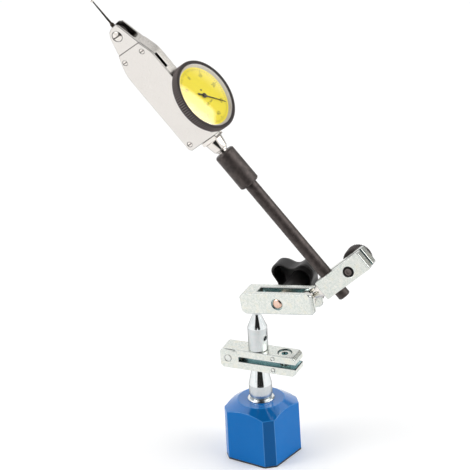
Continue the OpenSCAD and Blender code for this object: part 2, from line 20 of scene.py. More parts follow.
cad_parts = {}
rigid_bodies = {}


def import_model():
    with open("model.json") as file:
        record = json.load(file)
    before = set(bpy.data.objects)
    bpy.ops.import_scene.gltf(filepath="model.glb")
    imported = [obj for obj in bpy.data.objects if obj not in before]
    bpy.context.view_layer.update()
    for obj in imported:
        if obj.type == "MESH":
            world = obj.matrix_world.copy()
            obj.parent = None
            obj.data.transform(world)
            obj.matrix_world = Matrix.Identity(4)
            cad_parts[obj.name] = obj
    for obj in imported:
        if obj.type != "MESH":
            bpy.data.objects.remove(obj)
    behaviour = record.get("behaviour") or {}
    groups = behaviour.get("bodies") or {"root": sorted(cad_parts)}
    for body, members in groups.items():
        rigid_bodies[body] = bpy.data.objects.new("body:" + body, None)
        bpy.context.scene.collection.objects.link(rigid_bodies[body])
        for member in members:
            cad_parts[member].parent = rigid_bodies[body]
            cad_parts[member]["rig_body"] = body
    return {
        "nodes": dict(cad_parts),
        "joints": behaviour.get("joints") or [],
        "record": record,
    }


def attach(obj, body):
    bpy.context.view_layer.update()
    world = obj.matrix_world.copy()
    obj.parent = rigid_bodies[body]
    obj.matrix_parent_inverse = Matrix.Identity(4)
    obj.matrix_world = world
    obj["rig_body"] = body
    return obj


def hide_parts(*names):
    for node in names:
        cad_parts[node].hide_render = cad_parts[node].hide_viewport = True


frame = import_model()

MM = 0.001
LOG = logging.getLogger("indicator")
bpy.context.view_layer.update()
JOINTS = {j["name"]: j for j in frame["joints"]}
SLOT_OF = {s["node"]: s["material_slot"] for s in frame["record"]["subparts"]}
Span = tuple[float, float]
Point = tuple[float, float, float]
Corners = tuple[Span, ...]
Colour = tuple[float, float, float]


# Frames and outlines


def unit(v: np.ndarray) -> np.ndarray:
    """A vector of length one along v."""
    return np.asarray(v, float) / np.linalg.norm(v)


class Axis(Enum):
    """Local axes that a piece may be turned on."""

    X = "x"
    Y = "y"
    MINUS_Y = "-y"


@dataclass(frozen=True)
class Frame:
    """A right-handed local frame: origin in metres and three unit axes, in the row frame."""

    origin: np.ndarray
    x: np.ndarray
    y: np.ndarray
    z: np.ndarray

    def place(self, points: np.ndarray) -> np.ndarray:
        """Puts local points in millimetres into the row frame, in metres."""
        return self.origin + (points @ np.stack([self.x, self.y, self.z])) * MM

    def shifted(self, x: float = 0.0, y: float = 0.0, z: float = 0.0) -> "Frame":
        """The same axes at a local point in millimetres."""
        return Frame(self.place(np.array([x, y, z])), self.x, self.y, self.z)

    def along(self, axis: Axis) -> "Frame":
        """A frame at the same point whose z runs along a local axis."""
        turns = {Axis.X: (self.y, self.z, self.x), Axis.Y: (self.z, self.x, self.y),
                 Axis.MINUS_Y: (self.x, self.z, -self.y)}
        return Frame(self.origin, *turns[axis])


def joint_point(name: str) -> np.ndarray:
    """The joint's point in the row frame, in metres."""
    return np.array(JOINTS[name]["pos_m"], float)


def joint_axis(name: str) -> np.ndarray:
    """The joint's axis as a unit vector."""
    return unit(np.array(JOINTS[name]["axis"], float))


def frame_on(point: np.ndarray, x: np.ndarray, y: np.ndarray) -> Frame:
    """The frame at a point with the x and y axes given."""
    return Frame(point, x, y, np.cross(x, y))


UP = np.array([0.0, 0.0, 1.0])
NORMAL, ACROSS = joint_axis("bezel_turn"), joint_axis("lever_swing")
WORLD = Frame(np.zeros(3), np.array([1.0, 0, 0]), np.array([0, 1.0, 0]), UP)
CLAMP = frame_on(joint_point("clamp_tilt"), unit(joint_point("stud_tilt") - joint_point("clamp_tilt")),
                 joint_axis("clamp_knob_turn"))
BAR = frame_on(joint_point("fine_tilt"), unit(joint_point("fine_screw_turn") - joint_point("fine_tilt")),
               -joint_axis("fine_tilt"))
SCREW = Frame(joint_point("fine_screw_turn"), BAR.x, BAR.y, BAR.z)
BLOCK = frame_on(joint_point("stud_tilt"), joint_axis("holder_twist"), joint_axis("thumb_turn"))
INDICATOR = frame_on(joint_point("indicator_turn"), NORMAL, ACROSS)
PIVOT = frame_on(joint_point("lever_swing"), NORMAL, ACROSS)
FACE = frame_on(joint_point("bezel_turn"), -INDICATOR.z, ACROSS)

NEARLY_STRAIGHT = 1.55
SIDE_SHARE = 0.45


def rounded(points: Corners, radius: float, steps: int = 5) -> np.ndarray:
    """Rounds the corners of an open outline with tangent arcs.

    Each arc starts and ends radius / tan(half the corner's angle) from the corner,
    and nearer where a side is too short.

    Args:
        points: corners of the outline.
        radius: radius of the arcs, in the outline's unit.
        steps: stretches in each arc.

    Returns:
        The outline's points as an array with two columns.
    """
    p = np.array(points, float)
    out = [p[:1]]
    for before, corner, after in zip(p[:-2], p[1:-1], p[2:]):
        a, b = unit(before - corner), unit(after - corner)
        half = math.acos(max(-1.0, min(1.0, float(a @ b)))) / 2
        if half > NEARLY_STRAIGHT:
            out.append(corner[None])
            continue
        reach = min(radius / math.tan(half), SIDE_SHARE * np.linalg.norm(before - corner),
                    SIDE_SHARE * np.linalg.norm(after - corner))
        r = reach * math.tan(half)
        centre = corner + unit(a + b) * r / math.sin(half)
        start, end = unit(corner + a * reach - centre), unit(corner + b * reach - centre)
        t = np.linspace(0, 1, steps + 1)[:, None]
        swing = math.acos(max(-1.0, min(1.0, float(start @ end))))
        arc = np.sin((1 - t) * swing) * start + np.sin(t * swing) * end
        out.append(centre + r * arc / math.sin(swing))
    out.append(p[-1:])
    return np.concatenate(out)


def circle(sides: int) -> np.ndarray:
    """Equal angles round a full turn, in radians."""
    return np.arange(sides) * (2 * math.pi / sides)


def smoothstep(low: float, high: float, x: np.ndarray) -> np.ndarray:
    """Runs from 0 at low to 1 at high with level ends."""
    t = np.clip((x - low) / (high - low), 0, 1)
    return t * t * (3 - 2 * t)


# Meshes

DOUBLES = 2e-7
CAD_DOUBLES = 1e-6
FLAT_DEGREES = 0.5
BREAK_DEGREES = 30.0
TOOTH_COLUMNS = 6
DULL_TILT = (0.03, 0.12)


def finish_mesh(mesh: Mesh, sharp: float = 40.0) -> Mesh:
    """Merges doubles, turns faces outwards and shades the mesh smooth up to an angle.

    Args:
        mesh: a closed mesh.
        sharp: edges over this many degrees stay sharp.

    Returns:
        The same mesh.
    """
    bm = bmesh.new()
    bm.from_mesh(mesh)
    bmesh.ops.remove_doubles(bm, verts=bm.verts, dist=DOUBLES)
    bmesh.ops.recalc_face_normals(bm, faces=bm.faces)
    bm.to_mesh(mesh)
    bm.free()
    mesh.shade_smooth()
    mesh.set_sharp_from_angle(angle=math.radians(sharp))
    return mesh


def grid_mesh(name: str, grids: list[np.ndarray], recess: np.ndarray | None = None) -> Mesh:
    """Makes one mesh from grids of points whose columns run round.

    Args:
        name: name of the mesh.
        grids: points in metres, each rows by columns by three and all of one shape.
        recess: share of the recess colour at each point of a grid, painted shade in valleys and gaps, 0 to
            1, the same for every grid.

    Returns:
        The mesh, with seams and poles closed.
    """
    rows, cols = grids[0].shape[:2]
    i, j = np.meshgrid(np.arange(rows - 1), np.arange(cols), indexing="ij")
    here, beside = i * cols + j, i * cols + (j + 1) % cols
    quads = np.stack([here, beside, beside + cols, here + cols], -1).reshape(-1, 4)
    offsets = np.arange(len(grids))[:, None, None] * rows * cols
    mesh = bpy.data.meshes.new(name)
    mesh.from_pydata(np.concatenate([g.reshape(-1, 3) for g in grids]).tolist(), [],
                     (quads + offsets).reshape(-1, 4).tolist())
    if recess is not None:
        mark = mesh.attributes.new("recess", "FLOAT", "POINT")
        mark.data.foreach_set("value", np.tile(recess.reshape(-1), len(grids)).astype(np.float32))
    return finish_mesh(mesh)


def link(name: str, data: bpy.types.ID) -> Object:
    """Adds an object to the scene.

    Args:
        name: the object's name.
        data: its mesh, curve, camera or light.

    Returns:
        The object.
    """
    obj = bpy.data.objects.new(name, data)
    bpy.context.scene.collection.objects.link(obj)
    return obj


def piece(name: str, mesh: Mesh, body: str, slot: str, stands_for: tuple[str, ...] = (),
          finish: str = "") -> Object:
    """Adds a mesh to the scene as a piece that rides on a body.

    Args:
        name: the piece's name.
        mesh: its mesh, in the row frame.
        body: the body it rides on.
        slot: the record's material slot.
        stands_for: nodes that it replaces.
        finish: name of its finish, where it isn't the slot's own.

    Returns:
        The new object.
    """
    obj = link(name, mesh)
    mesh.materials.clear()
    mesh.materials.append(material_of(finish or slot))
    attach(obj, body)
    if stands_for:
        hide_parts(*stands_for)
    LOG.info("%s rides on %s", name, body)
    return obj


def grid_piece(name: str, grid: np.ndarray, body: str, slot: str, *stands_for: str) -> None:
    """Makes a piece from one grid of points in metres."""
    piece(name, grid_mesh(name, [grid]), body, slot, stands_for)


def revolve(profile: np.ndarray, at: Frame, sides: int, dip: np.ndarray | None = None) -> np.ndarray:
    """Revolves a profile about a frame's z axis: (r cos a, r sin a, h).

    Args:
        profile: radius and height in millimetres, one row a point.
        at: frame whose z is the axis.
        sides: columns round the axis.
        dip: millimetres taken off the radius, one row for each profile point and a column for each side.

    Returns:
        A grid of points in metres, one row for each profile point.
    """
    angle = circle(sides)
    radius = np.repeat(profile[:, :1], sides, 1) - (0 if dip is None else dip)
    height = np.repeat(profile[:, 1:], sides, 1)
    return at.place(np.stack([radius * np.cos(angle), radius * np.sin(angle), height], -1))


def knurled(name: str, corners: Corners, at: Frame, round_over: float, teeth: int, depth: float,
            band: Span, plain: float = 0.6) -> Mesh:
    """Revolves a profile whose outer band dips to a valley between straight teeth.

    Round the axis the dip is a triangular wave, one for each tooth, made twice as steep and clipped,
    so that crests and valleys are level.

    Args:
        name: name of the mesh.
        corners: radius and height of the profile's corners in millimetres.
        at: frame whose z is the axis.
        round_over: radius of the rounded corners.
        teeth: teeth round the axis.
        depth: depth of the valleys in millimetres.
        band: radii between which the knurl sets in.
        plain: share of the dark recess colour on the walls without teeth, which are left darker than the
            crests.

    Returns:
        The mesh, with painted shade marked in its valleys.
    """
    profile, sides = rounded(corners, round_over), teeth * TOOTH_COLUMNS
    wave = np.abs(np.arange(sides) / (TOOTH_COLUMNS / 2) % 2 - 1)
    valley = np.clip(2 * wave - 0.5, 0, 1)
    share = smoothstep(*band, profile[:, 0])[:, None]
    grid = revolve(profile, at, sides, depth * share * valley)
    return grid_mesh(name, [grid], share * valley + (1 - share) * plain)


def mark_dull(mesh: Mesh, axis: np.ndarray) -> None:
    """Marks walls that don't look along an axis, which keep tool marks and shine less than cones.

    Args:
        mesh: the mesh that gets the face attribute.
        axis: the turning axis, towards the narrow end of the cones.
    """
    # Finishes with a wall shade also use this mark to paint these walls darker as painted shade.
    normals = np.empty(len(mesh.polygons) * 3)
    mesh.polygons.foreach_get("normal", normals)
    tilt = normals.reshape(-1, 3) @ axis
    mark = mesh.attributes.new("dull", "FLOAT", "FACE")
    mark.data.foreach_set("value", (1 - smoothstep(*DULL_TILT, tilt)).astype(np.float32))


def turned(name: str, corners: Corners, at: Frame, radius: float, sides: int = 96, finish: str = "",
           ring: Span = (math.inf, math.inf)) -> None:
    """Replaces a node by a piece revolved from a profile with rounded corners.

    Args:
        name: the node.
        corners: radius and height of the profile's corners in millimetres.
        at: frame whose z is the axis.
        radius: radius of the rounded corners in millimetres.
        sides: columns round the axis.
        finish: name of its finish, where it isn't the slot's own.
        ring: radii between which the surface gets painted shade in the recess colour.
    """
    profile = rounded(corners, radius)
    inside = (profile[:, :1] > ring[0]) & (profile[:, :1] < ring[1])
    dark = np.repeat(inside.astype(float), sides, 1)
    mesh = grid_mesh(name + "_turned", [revolve(profile, at, sides)], dark)
    mark_dull(mesh, at.z)
    piece(name + "_turned", mesh, frame["nodes"][name]["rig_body"], SLOT_OF[name], (name,), finish)


@dataclass(frozen=True)
class Seam:
    """A tight joint line on a cylinder, whose edges stay sharp so that it hardly shows."""

    point: np.ndarray
    axis: np.ndarray
    radius: float
    reach: float = 0.25

    def has(self, edge: bmesh.types.BMEdge) -> bool:
        """Tells whether both ends of an edge lie on the seam's cylinder.

        Args:
            edge: the edge, in metres.

        Returns:
            True where both ends are within the seam's reach.
        """
        off = np.array([v.co for v in edge.verts]) - self.point
        span = np.linalg.norm(np.cross(off, self.axis), axis=1) / MM
        return bool(np.all(np.abs(span - self.radius) < self.reach))


# Faces inside a hollow get painted shade in the finish's recess colour.
@dataclass(frozen=True)
class Hollow:
    """A box in a local frame, in millimetres, whose faces lie in a slot or recess."""

    at: Frame
    low: Point
    high: Point
    amount: float = 1.0

    def mark(self, mesh: Mesh) -> None:
        """Marks the faces whose centres lie in the box.

        Args:
            mesh: the mesh that gets the face attribute.
        """
        centres = np.empty(len(mesh.polygons) * 3)
        mesh.polygons.foreach_get("center", centres)
        axes = np.stack([self.at.x, self.at.y, self.at.z], 1)
        local = (centres.reshape(-1, 3) - self.at.origin) @ axes / MM
        inside = np.all((local > self.low) & (local < self.high), axis=1)
        mark = mesh.attributes.get("recess") or mesh.attributes.new("recess", "FLOAT", "FACE")
        depth = np.empty(len(mesh.polygons), np.float32)
        mark.data.foreach_get("value", depth)
        mark.data.foreach_set("value", np.maximum(depth, inside * self.amount).astype(np.float32))


def softened(name: str, width: float, segments: int = 2, finish: str = "",
             dull_axis: np.ndarray | None = None, seam: Seam | None = None,
             hollows: tuple[Hollow, ...] = (), sliver: float = 0.08) -> None:
    """Replaces a node by a copy of its solid with real edge breaks.

    Args:
        name: name of the node.
        width: width of the edge breaks in millimetres.
        segments: faces across each edge break.
        finish: name of its finish, where it isn't the slot's own.
        dull_axis: axis whose straight walls are marked as dull.
        seam: joint line whose edges stay sharp.
        hollows: boxes whose faces get painted shade in the recess colour.
        sliver: points nearer than this are merged, in millimetres, so that edge breaks don't cross.
    """
    mesh = frame["nodes"][name].data.copy()
    bm = bmesh.new()
    bm.from_mesh(mesh)
    bmesh.ops.remove_doubles(bm, verts=bm.verts, dist=CAD_DOUBLES)
    bmesh.ops.dissolve_limit(bm, angle_limit=math.radians(FLAT_DEGREES), verts=bm.verts, edges=bm.edges)
    bmesh.ops.remove_doubles(bm, verts=bm.verts, dist=sliver * MM)
    weight = bm.edges.layers.float.new("bevel_weight_edge")
    for edge in bm.edges:
        broken = edge.is_manifold and edge.calc_face_angle() > math.radians(BREAK_DEGREES)
        edge[weight] = float(broken and not (seam and seam.has(edge)))
    bm.to_mesh(mesh)
    bm.free()
    mesh.shade_smooth()
    if dull_axis is not None:
        mark_dull(mesh, dull_axis)
    for hollow in hollows:
        hollow.mark(mesh)
    look = finish or SLOT_OF[name]
    obj = piece(name + "_finished", mesh, frame["nodes"][name]["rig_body"], SLOT_OF[name], (name,), look)
    bevel = obj.modifiers.new("edge_breaks", "BEVEL")
    bevel.width = width * MM
    bevel.segments = segments
    bevel.limit_method = "WEIGHT"
    bevel.use_clamp_overlap = False
    # The edge breaks take the finish's edge colour, which paints shade lines along most edges and a
    # highlight on the blue base's edges.
    if FINISHES[look].edge:
        mesh.materials.append(material_of(FINISHES[look].edge))
        bevel.material = 1
    smooth = obj.modifiers.new("even_normals", "WEIGHTED_NORMAL")
    smooth.keep_sharp = True


@dataclass(frozen=True)
class SlottedHead:
    """Screw head whose height falls with the square of the radius, with a slot across its middle.

    Sizes are in millimetres; the slot's width is given as its half.
    The rim falls off beyond a share of the radius, and the slot's walls slant between two shares
    of its half width.
    """

    radius: float
    dome: float
    skirt: float
    slot: float
    depth: float
    sides: int = 144
    rings: int = 26
    dome_to: float = 0.94
    rim_from: float = 0.95
    rim_rings: Span = (0.98, 1.0)
    walls: Span = (0.85, 1.2)

    def mesh(self, name: str, places: list[Frame]) -> Mesh:
        """Makes one mesh of equal heads.

        Args:
            name: name of the mesh.
            places: a frame at each head's rim, with z out of the head.

        Returns:
            The mesh, with painted shade marked in the slots, on the rims and under the heads.
        """
        share = np.concatenate([np.linspace(0, self.dome_to, self.rings), self.rim_rings])
        angle = circle(self.sides)
        x, y = self.radius * np.outer(share, np.cos(angle)), self.radius * np.outer(share, np.sin(angle))
        rim = np.maximum(share - self.rim_from, 0)[:, None] * self.radius
        groove = 1 - smoothstep(self.slot * self.walls[0], self.slot * self.walls[1], np.abs(y))
        height = self.dome * (1 - share[:, None] ** 2) - rim - self.depth * groove
        foot = np.stack([x[-1], y[-1], np.full_like(x[-1], -self.skirt)], -1)[None]
        end = np.broadcast_to(np.array([0, 0, -self.skirt], float), foot.shape)
        local = np.concatenate([np.stack([x, y, height], -1), foot, end])
        dark = np.concatenate([np.maximum(groove, rim > 0), np.ones((2, self.sides))])
        return grid_mesh(name, [at.place(local) for at in places], dark)


# Shaders


def feed(tree: NodeTree, made: Node, inputs: dict) -> None:
    """Sets or links a node's inputs.

    Args:
        tree: the node's tree.
        made: the node.
        inputs: values or output sockets by input name or number.
    """
    for key, value in inputs.items():
        if isinstance(value, NodeSocket):
            tree.links.new(value, made.inputs[key])
        else:
            made.inputs[key].default_value = value


def node(tree: NodeTree, kind: str, inputs: dict | None = None, **settings: object) -> Node:
    """Adds a shader node.

    Args:
        tree: the tree it joins.
        kind: its type without the common prefix.
        inputs: values or output sockets by input name or number.
        **settings: properties of the node.

    Returns:
        The node.
    """
    made = tree.nodes.new("ShaderNode" + kind)
    for key, value in settings.items():
        setattr(made, key, value)
    feed(tree, made, inputs or {})
    return made


def maths(tree: NodeTree, operation: str, *values: float | NodeSocket) -> NodeSocket:
    """The outcome of a sum on values or sockets."""
    return node(tree, "Math", dict(enumerate(values)), operation=operation).outputs[0]


def mix(tree: NodeTree, factor: NodeSocket, first: tuple | NodeSocket,
        second: tuple | NodeSocket) -> NodeSocket:
    """The first colour, mixed with the second by a factor."""
    made = node(tree, "Mix", {"Factor": factor, "A": first, "B": second}, data_type="RGBA")
    return made.outputs["Result"]


def ramp(tree: NodeTree, value: NodeSocket, span: Span,
         to: tuple[float | NodeSocket, float | NodeSocket] = (0.0, 1.0), level: bool = True) -> NodeSocket:
    """Maps a value from one span to another.

    Args:
        tree: the tree.
        value: the value.
        span: where the ramp starts and ends.
        to: what it gives at its start and end.
        level: whether its ends are level.

    Returns:
        The mapped value, which stays between the ends.
    """
    inputs = {"Value": value, "From Min": span[0], "From Max": span[1], "To Min": to[0], "To Max": to[1]}
    kind = "SMOOTHSTEP" if level else "LINEAR"
    return node(tree, "MapRange", inputs, interpolation_type=kind).outputs["Result"]


def attribute(tree: NodeTree, name: str) -> NodeSocket:
    """The value of a mesh attribute."""
    return node(tree, "Attribute", attribute_name=name).outputs["Fac"]


class Shared(Enum):
    """Node groups that several finishes use, with the octaves of their noise."""

    GRAIN = ("fine_grain", 2.0)
    MOTTLE = ("slow_mottle", 4.0)


NOISE_INPUTS = {"Scale": 800.0, "Stretch": 1.0, "Low": 0.0, "High": 1.0}
NOISE_SPAN = (0.3, 0.7)


@cache
def noise_group(kind: Shared) -> NodeTree:
    """A group that gives noise on Object coordinates between two limits, built once.

    Args:
        kind: the group.

    Returns:
        The node group.
    """
    name, detail = kind.value
    group = bpy.data.node_groups.new(name, "ShaderNodeTree")
    for title, value in NOISE_INPUTS.items():
        socket = group.interface.new_socket(name=title, in_out="INPUT", socket_type="NodeSocketFloat")
        socket.default_value = value
    group.interface.new_socket(name="Value", in_out="OUTPUT", socket_type="NodeSocketFloat")
    given, made = group.nodes.new("NodeGroupInput").outputs, group.nodes.new("NodeGroupOutput")
    place = node(group, "TexCoord").outputs["Object"]
    stretch = node(group, "CombineXYZ", {0: 1.0, 1: 1.0, 2: given["Stretch"]}).outputs[0]
    spot = node(group, "VectorMath", {0: place, 1: stretch}, operation="MULTIPLY").outputs[0]
    noise = node(group, "TexNoise", {"Vector": spot, "Scale": given["Scale"], "Detail": detail})
    limits = ramp(group, noise.outputs["Fac"], NOISE_SPAN, (given["Low"], given["High"]), level=False)
    group.links.new(limits, made.inputs["Value"])
    return group


def principled(name: str) -> tuple[Material, NodeTree, Node]:
    """Makes a material with its own tree.

    Args:
        name: the material's name.

    Returns:
        The material, its tree and its main shader.
    """
    mat = bpy.data.materials.new(name)
    mat.use_nodes = True
    return mat, mat.node_tree, mat.node_tree.nodes["Principled BSDF"]


# Painted shade: the next five constants darken dull walls, glancing views and faces turned to the eye.
WALL_PAINTED_SHADE: Colour = (0.02, 0.02, 0.02)
RIM_SHADE: Colour = (0.03, 0.03, 0.03)
RIM_SPAN = (0.5, 0.85)
FACING_SHADE_SPAN = (0.08, 0.3)
FACING_SHADE_SHARE = 0.4
PATCH_SCALE = 0.37
PATCH_LOW = -0.5


@dataclass(frozen=True)
class Finish:
    """One surface finish.

    Colours are linear. The colour drifts to the tint on slow mottle and to the stain in patches,
    and the roughness runs between two limits on fine grain. Dull walls are rougher and get painted shade,
    recesses get painted shade in the recess colour, and a rim over 0 paints a dark reflection at a glancing
    angle.
    A depth over 0 paints shade on what faces the eye, and a glow lightens for the eye alone.
    """

    name: str
    colour: Colour
    tint: Colour
    rough: Span
    metallic: float = 0.0
    mottle_scale: float = 120.0
    grain_scale: float = 2500.0
    grain_stretch: float = 1.0
    bump: float = 0.05
    bump_depth: float = 0.00002
    coat: float = 0.0
    coat_rough: float = 0.05
    coat_ior: float = 1.5
    specular: float = 0.5
    ior: float = 1.5
    stain: Colour = (0.5, 0.5, 0.5)
    stain_amount: float = 0.0
    dull_rough: float = 0.2
    # Painted shade: on dull walls, in recesses (recess colour), at glancing angles (rim) and on faces turned
    # to the eye (depth).
    wall_painted_shade: float = 0.0
    recess: Colour = (0.008, 0.007, 0.007)
    rim: float = 0.0
    depth: float = 0.0
    glow: float = 0.0
    edge: str = ""

    def noise(self, tree: NodeTree, kind: Shared, **inputs: float) -> NodeSocket:
        """The output of a shared noise group with these inputs."""
        return node(tree, "Group", inputs, node_tree=noise_group(kind)).outputs["Value"]

    def paint(self, tree: NodeTree, dull: NodeSocket) -> NodeSocket:
        """Mixes the colour, its tint and stain, and the shades of dull walls, recesses and glancing views.

        Args:
            tree: the material's tree.
            dull: how dull the wall is, 0 to 1.

        Returns:
            The colour.
        """
        mottle = self.noise(tree, Shared.MOTTLE, Scale=self.mottle_scale)
        colour = mix(tree, mottle, (*self.colour, 1), (*self.tint, 1))
        masks = []
        if self.stain_amount:
            patch = self.noise(tree, Shared.MOTTLE, Scale=self.mottle_scale * PATCH_SCALE, Low=PATCH_LOW,
                               High=self.stain_amount)
            masks.append((patch, self.stain))
        # Painted shade on dull walls and in recesses.
        masks.append((maths(tree, "MULTIPLY", dull, self.wall_painted_shade), WALL_PAINTED_SHADE))
        masks.append((attribute(tree, "recess"), self.recess))
        # Painted dark reflection at glancing angles (rim) and painted shade on faces turned to the eye
        # (depth).
        facing_shade = tuple(FACING_SHADE_SHARE * c for c in self.colour)
        for span, to, towards in ((RIM_SPAN, (0.0, self.rim), RIM_SHADE),
                                  (FACING_SHADE_SPAN, (self.depth, 0.0), facing_shade)):
            if any(to):
                facing = node(tree, "LayerWeight", {"Blend": 0.5}).outputs["Facing"]
                masks.append((ramp(tree, facing, span, to), towards))
        for mask, towards in masks:
            colour = mix(tree, mask, colour, (*towards, 1))
        return colour

    def material(self) -> Material:
        """Builds the finish.

        Returns:
            The material.
        """
        mat, tree, shader = principled(self.name)
        dull = attribute(tree, "dull")
        grain = self.noise(tree, Shared.GRAIN, Scale=self.grain_scale, Stretch=self.grain_stretch)
        rough = ramp(tree, grain, (0.0, 1.0), self.rough, level=False)
        bump = node(tree, "Bump", {"Strength": self.bump, "Distance": self.bump_depth, "Height": grain})
        feed(tree, shader, {
            "Base Color": self.paint(tree, dull), "Metallic": self.metallic,
            "Roughness": maths(tree, "MULTIPLY_ADD", dull, self.dull_rough, rough),
            "Normal": bump.outputs["Normal"], "Specular IOR Level": self.specular, "IOR": self.ior,
            "Coat Roughness": self.coat_rough, "Coat IOR": self.coat_ior})
        if self.coat:
            feed(tree, shader, {"Coat Weight": ramp(tree, dull, (0.0, 1.0), (self.coat, 0.0), level=False)})
        if self.glow:
            eye = node(tree, "LightPath").outputs["Is Camera Ray"]
            feed(tree, shader, {"Emission Color": eye, "Emission Strength": self.glow})
        return mat


# Painted shade: the dark recess colour in the case's fork and top notch.
SATIN = Finish(
    "satin_chrome_plate", (0.78, 0.745, 0.71), (0.80, 0.765, 0.73), (0.24, 0.32), 1.0, mottle_scale=90,
    grain_scale=3200, bump=0.1, recess=(0.03, 0.026, 0.024), edge="chrome_edge")
FINISHES: dict[str, Finish] = {
    # Painted shade: depth darkens the faces turned to the eye, such as the base's front chamfer.
    "blue_enamel": Finish(
        "glossy_blue_enamel", (0.002, 0.155, 0.50), (0.003, 0.165, 0.52), (0.05, 0.09), mottle_scale=60,
        grain_scale=700, bump=0.04, ior=1.25, coat=1.0, coat_rough=0.04, coat_ior=1.65, dull_rough=0.08,
        depth=0.7, edge="blue_edge"),
    # Painted highlight: a lighter blue on the base's edge breaks.
    "blue_edge": Finish(
        "blue_edge_painted_highlight", (0.006, 0.18, 0.53), (0.03, 0.22, 0.57), (0.08, 0.14), mottle_scale=400),
    "bare_steel": Finish("ground_bare_steel", (0.05, 0.05, 0.052), (0.09, 0.09, 0.09), (0.4, 0.6), 1.0),
    "magnet": Finish("sintered_magnet", (0.03, 0.03, 0.03), (0.05, 0.05, 0.05), (0.55, 0.75), 0.5),
    "brass": Finish("plain_brass", (0.55, 0.36, 0.12), (0.48, 0.31, 0.1), (0.25, 0.4), 1.0),
    # Painted shade: the pale teal recess colour in the bars' slot and the screw's bore and socket.
    "zinc": Finish(
        "bright_zinc_plate", (0.88, 0.88, 0.83), (0.68, 0.73, 0.69), (0.2, 0.34), 1.0, mottle_scale=900,
        grain_scale=3200, bump=0.35, stain=(0.88, 0.84, 0.70), stain_amount=0.5, recess=(0.36, 0.52, 0.53),
        edge="zinc_edge"),
    # Painted shade: darker edge breaks draw thin outlines on the zinc bars.
    "zinc_edge": Finish(
        "zinc_edge_painted_shade", (0.76, 0.77, 0.74), (0.66, 0.70, 0.68), (0.14, 0.22), 1.0, mottle_scale=900),
    # Painted shade on the turned walls, and a painted dark reflection at glancing angles (rim).
    "bright_post": Finish(
        "bright_turned_post", (0.90, 0.91, 0.91), (0.80, 0.86, 0.87), (0.05, 0.1), 1.0, mottle_scale=700,
        grain_scale=1500, grain_stretch=0.12, bump=0.12, dull_rough=0.22, wall_painted_shade=0.2, rim=0.75),
    "pin_steel": Finish(
        "bright_pin", (0.86, 0.86, 0.82), (0.72, 0.76, 0.73), (0.2, 0.3), 1.0, mottle_scale=900,
        edge="pin_edge"),
    "pin_edge": Finish("shadowed_pin_edge", (0.60, 0.60, 0.56), (0.66, 0.66, 0.62), (0.3, 0.4), 1.0),
    "copper": Finish(
        "copper_coloured_plate", (0.78, 0.48, 0.36), (0.88, 0.66, 0.55), (0.2, 0.32), 1.0, mottle_scale=700),
    "black_plastic": Finish(
        "black_moulding", (0.012, 0.011, 0.011), (0.02, 0.018, 0.018), (0.36, 0.5), grain_scale=1800,
        bump=0.2, specular=0.45),
    "black_oxide": Finish(
        "black_oxide_steel", (0.045, 0.036, 0.034), (0.095, 0.076, 0.07), (0.34, 0.5), 0.5, mottle_scale=420,
        grain_scale=2200, bump=0.4, dull_rough=0.03, edge="oxide_edge"),
    # A lighter colour than the black oxide, on edge breaks and the thumb screw.
    "oxide_edge": Finish("lighter_oxide_edge", (0.12, 0.10, 0.095), (0.2, 0.17, 0.16), (0.3, 0.4), 0.8),
    "hub_oxide": Finish(
        "worn_hub_oxide", (0.07, 0.06, 0.056), (0.12, 0.10, 0.095), (0.3, 0.42), 0.6, bump=0.2),
    "satin_chrome": SATIN,
    "cover_chrome": replace(SATIN, name="satin_chrome_cover", edge="cover_edge_shade"),
    # Painted shade: dark edge breaks on the cover, as a painted dark reflection along its edges.
    "cover_edge_shade": Finish("cover_edge_painted_shade", (0.22, 0.21, 0.20), (0.27, 0.26, 0.25), (0.35, 0.45), 0.8),
    # Painted shade: darker edge breaks draw outlines on the satin chrome pieces.
    "chrome_edge": Finish("chrome_edge_painted_shade", (0.40, 0.39, 0.38), (0.48, 0.47, 0.46), (0.15, 0.22), 1.0),
    # Painted shade in screw slots and rims with the recess colour, and a painted dark reflection at glancing
    # angles (rim).
    "polished": Finish(
        "polished_chrome", (0.86, 0.81, 0.76), (0.82, 0.78, 0.74), (0.04, 0.08), 1.0, bump=0.03,
        dull_rough=0.05, recess=(0.14, 0.12, 0.11), rim=0.7),
    # Painted shade: the near-black recess colour in the knurl valleys, so the crests show lighter.
    "bezel_black": Finish(
        "black_bezel", (0.17, 0.14, 0.135), (0.20, 0.165, 0.16), (0.36, 0.48), bump=0.1, specular=0.2,
        dull_rough=0.0, recess=(0.003, 0.002, 0.002)),
    "dial_yellow": Finish("yellow_dial", (1.0, 0.81, 0.022), (1.0, 0.83, 0.03), (0.45, 0.55), bump=0.02),
    "ring_white": Finish("pale_ring", (0.58, 0.53, 0.50), (0.64, 0.59, 0.56), (0.35, 0.5)),
    "movement_steel": Finish("movement_steel", (0.55, 0.53, 0.5), (0.6, 0.58, 0.55), (0.2, 0.3), 1.0),
    "spring_alloy": Finish("hairspring_alloy", (0.25, 0.2, 0.16), (0.3, 0.24, 0.2), (0.3, 0.4), 1.0),
    "pointer_black": Finish("black_pointer", (0.02, 0.012, 0.006), (0.03, 0.02, 0.01), (0.35, 0.45)),
    "needle": Finish(
        "dark_needle", (0.035, 0.028, 0.024), (0.06, 0.048, 0.04), (0.2, 0.3), 1.0, dull_rough=0.05),
    "ink": Finish("dial_ink", (0.09, 0.07, 0.015), (0.12, 0.09, 0.02), (0.5, 0.6), bump=0.02),
    "floor": Finish(
        "pale_floor", (0.92, 0.92, 0.92), (0.93, 0.93, 0.93), (0.6, 0.7), bump=0.0, specular=0.1, glow=0.1),
}
CRYSTAL = {"Base Color": (0.98, 0.985, 0.985, 1), "Transmission Weight": 1.0, "Roughness": 0.0, "IOR": 1.49}


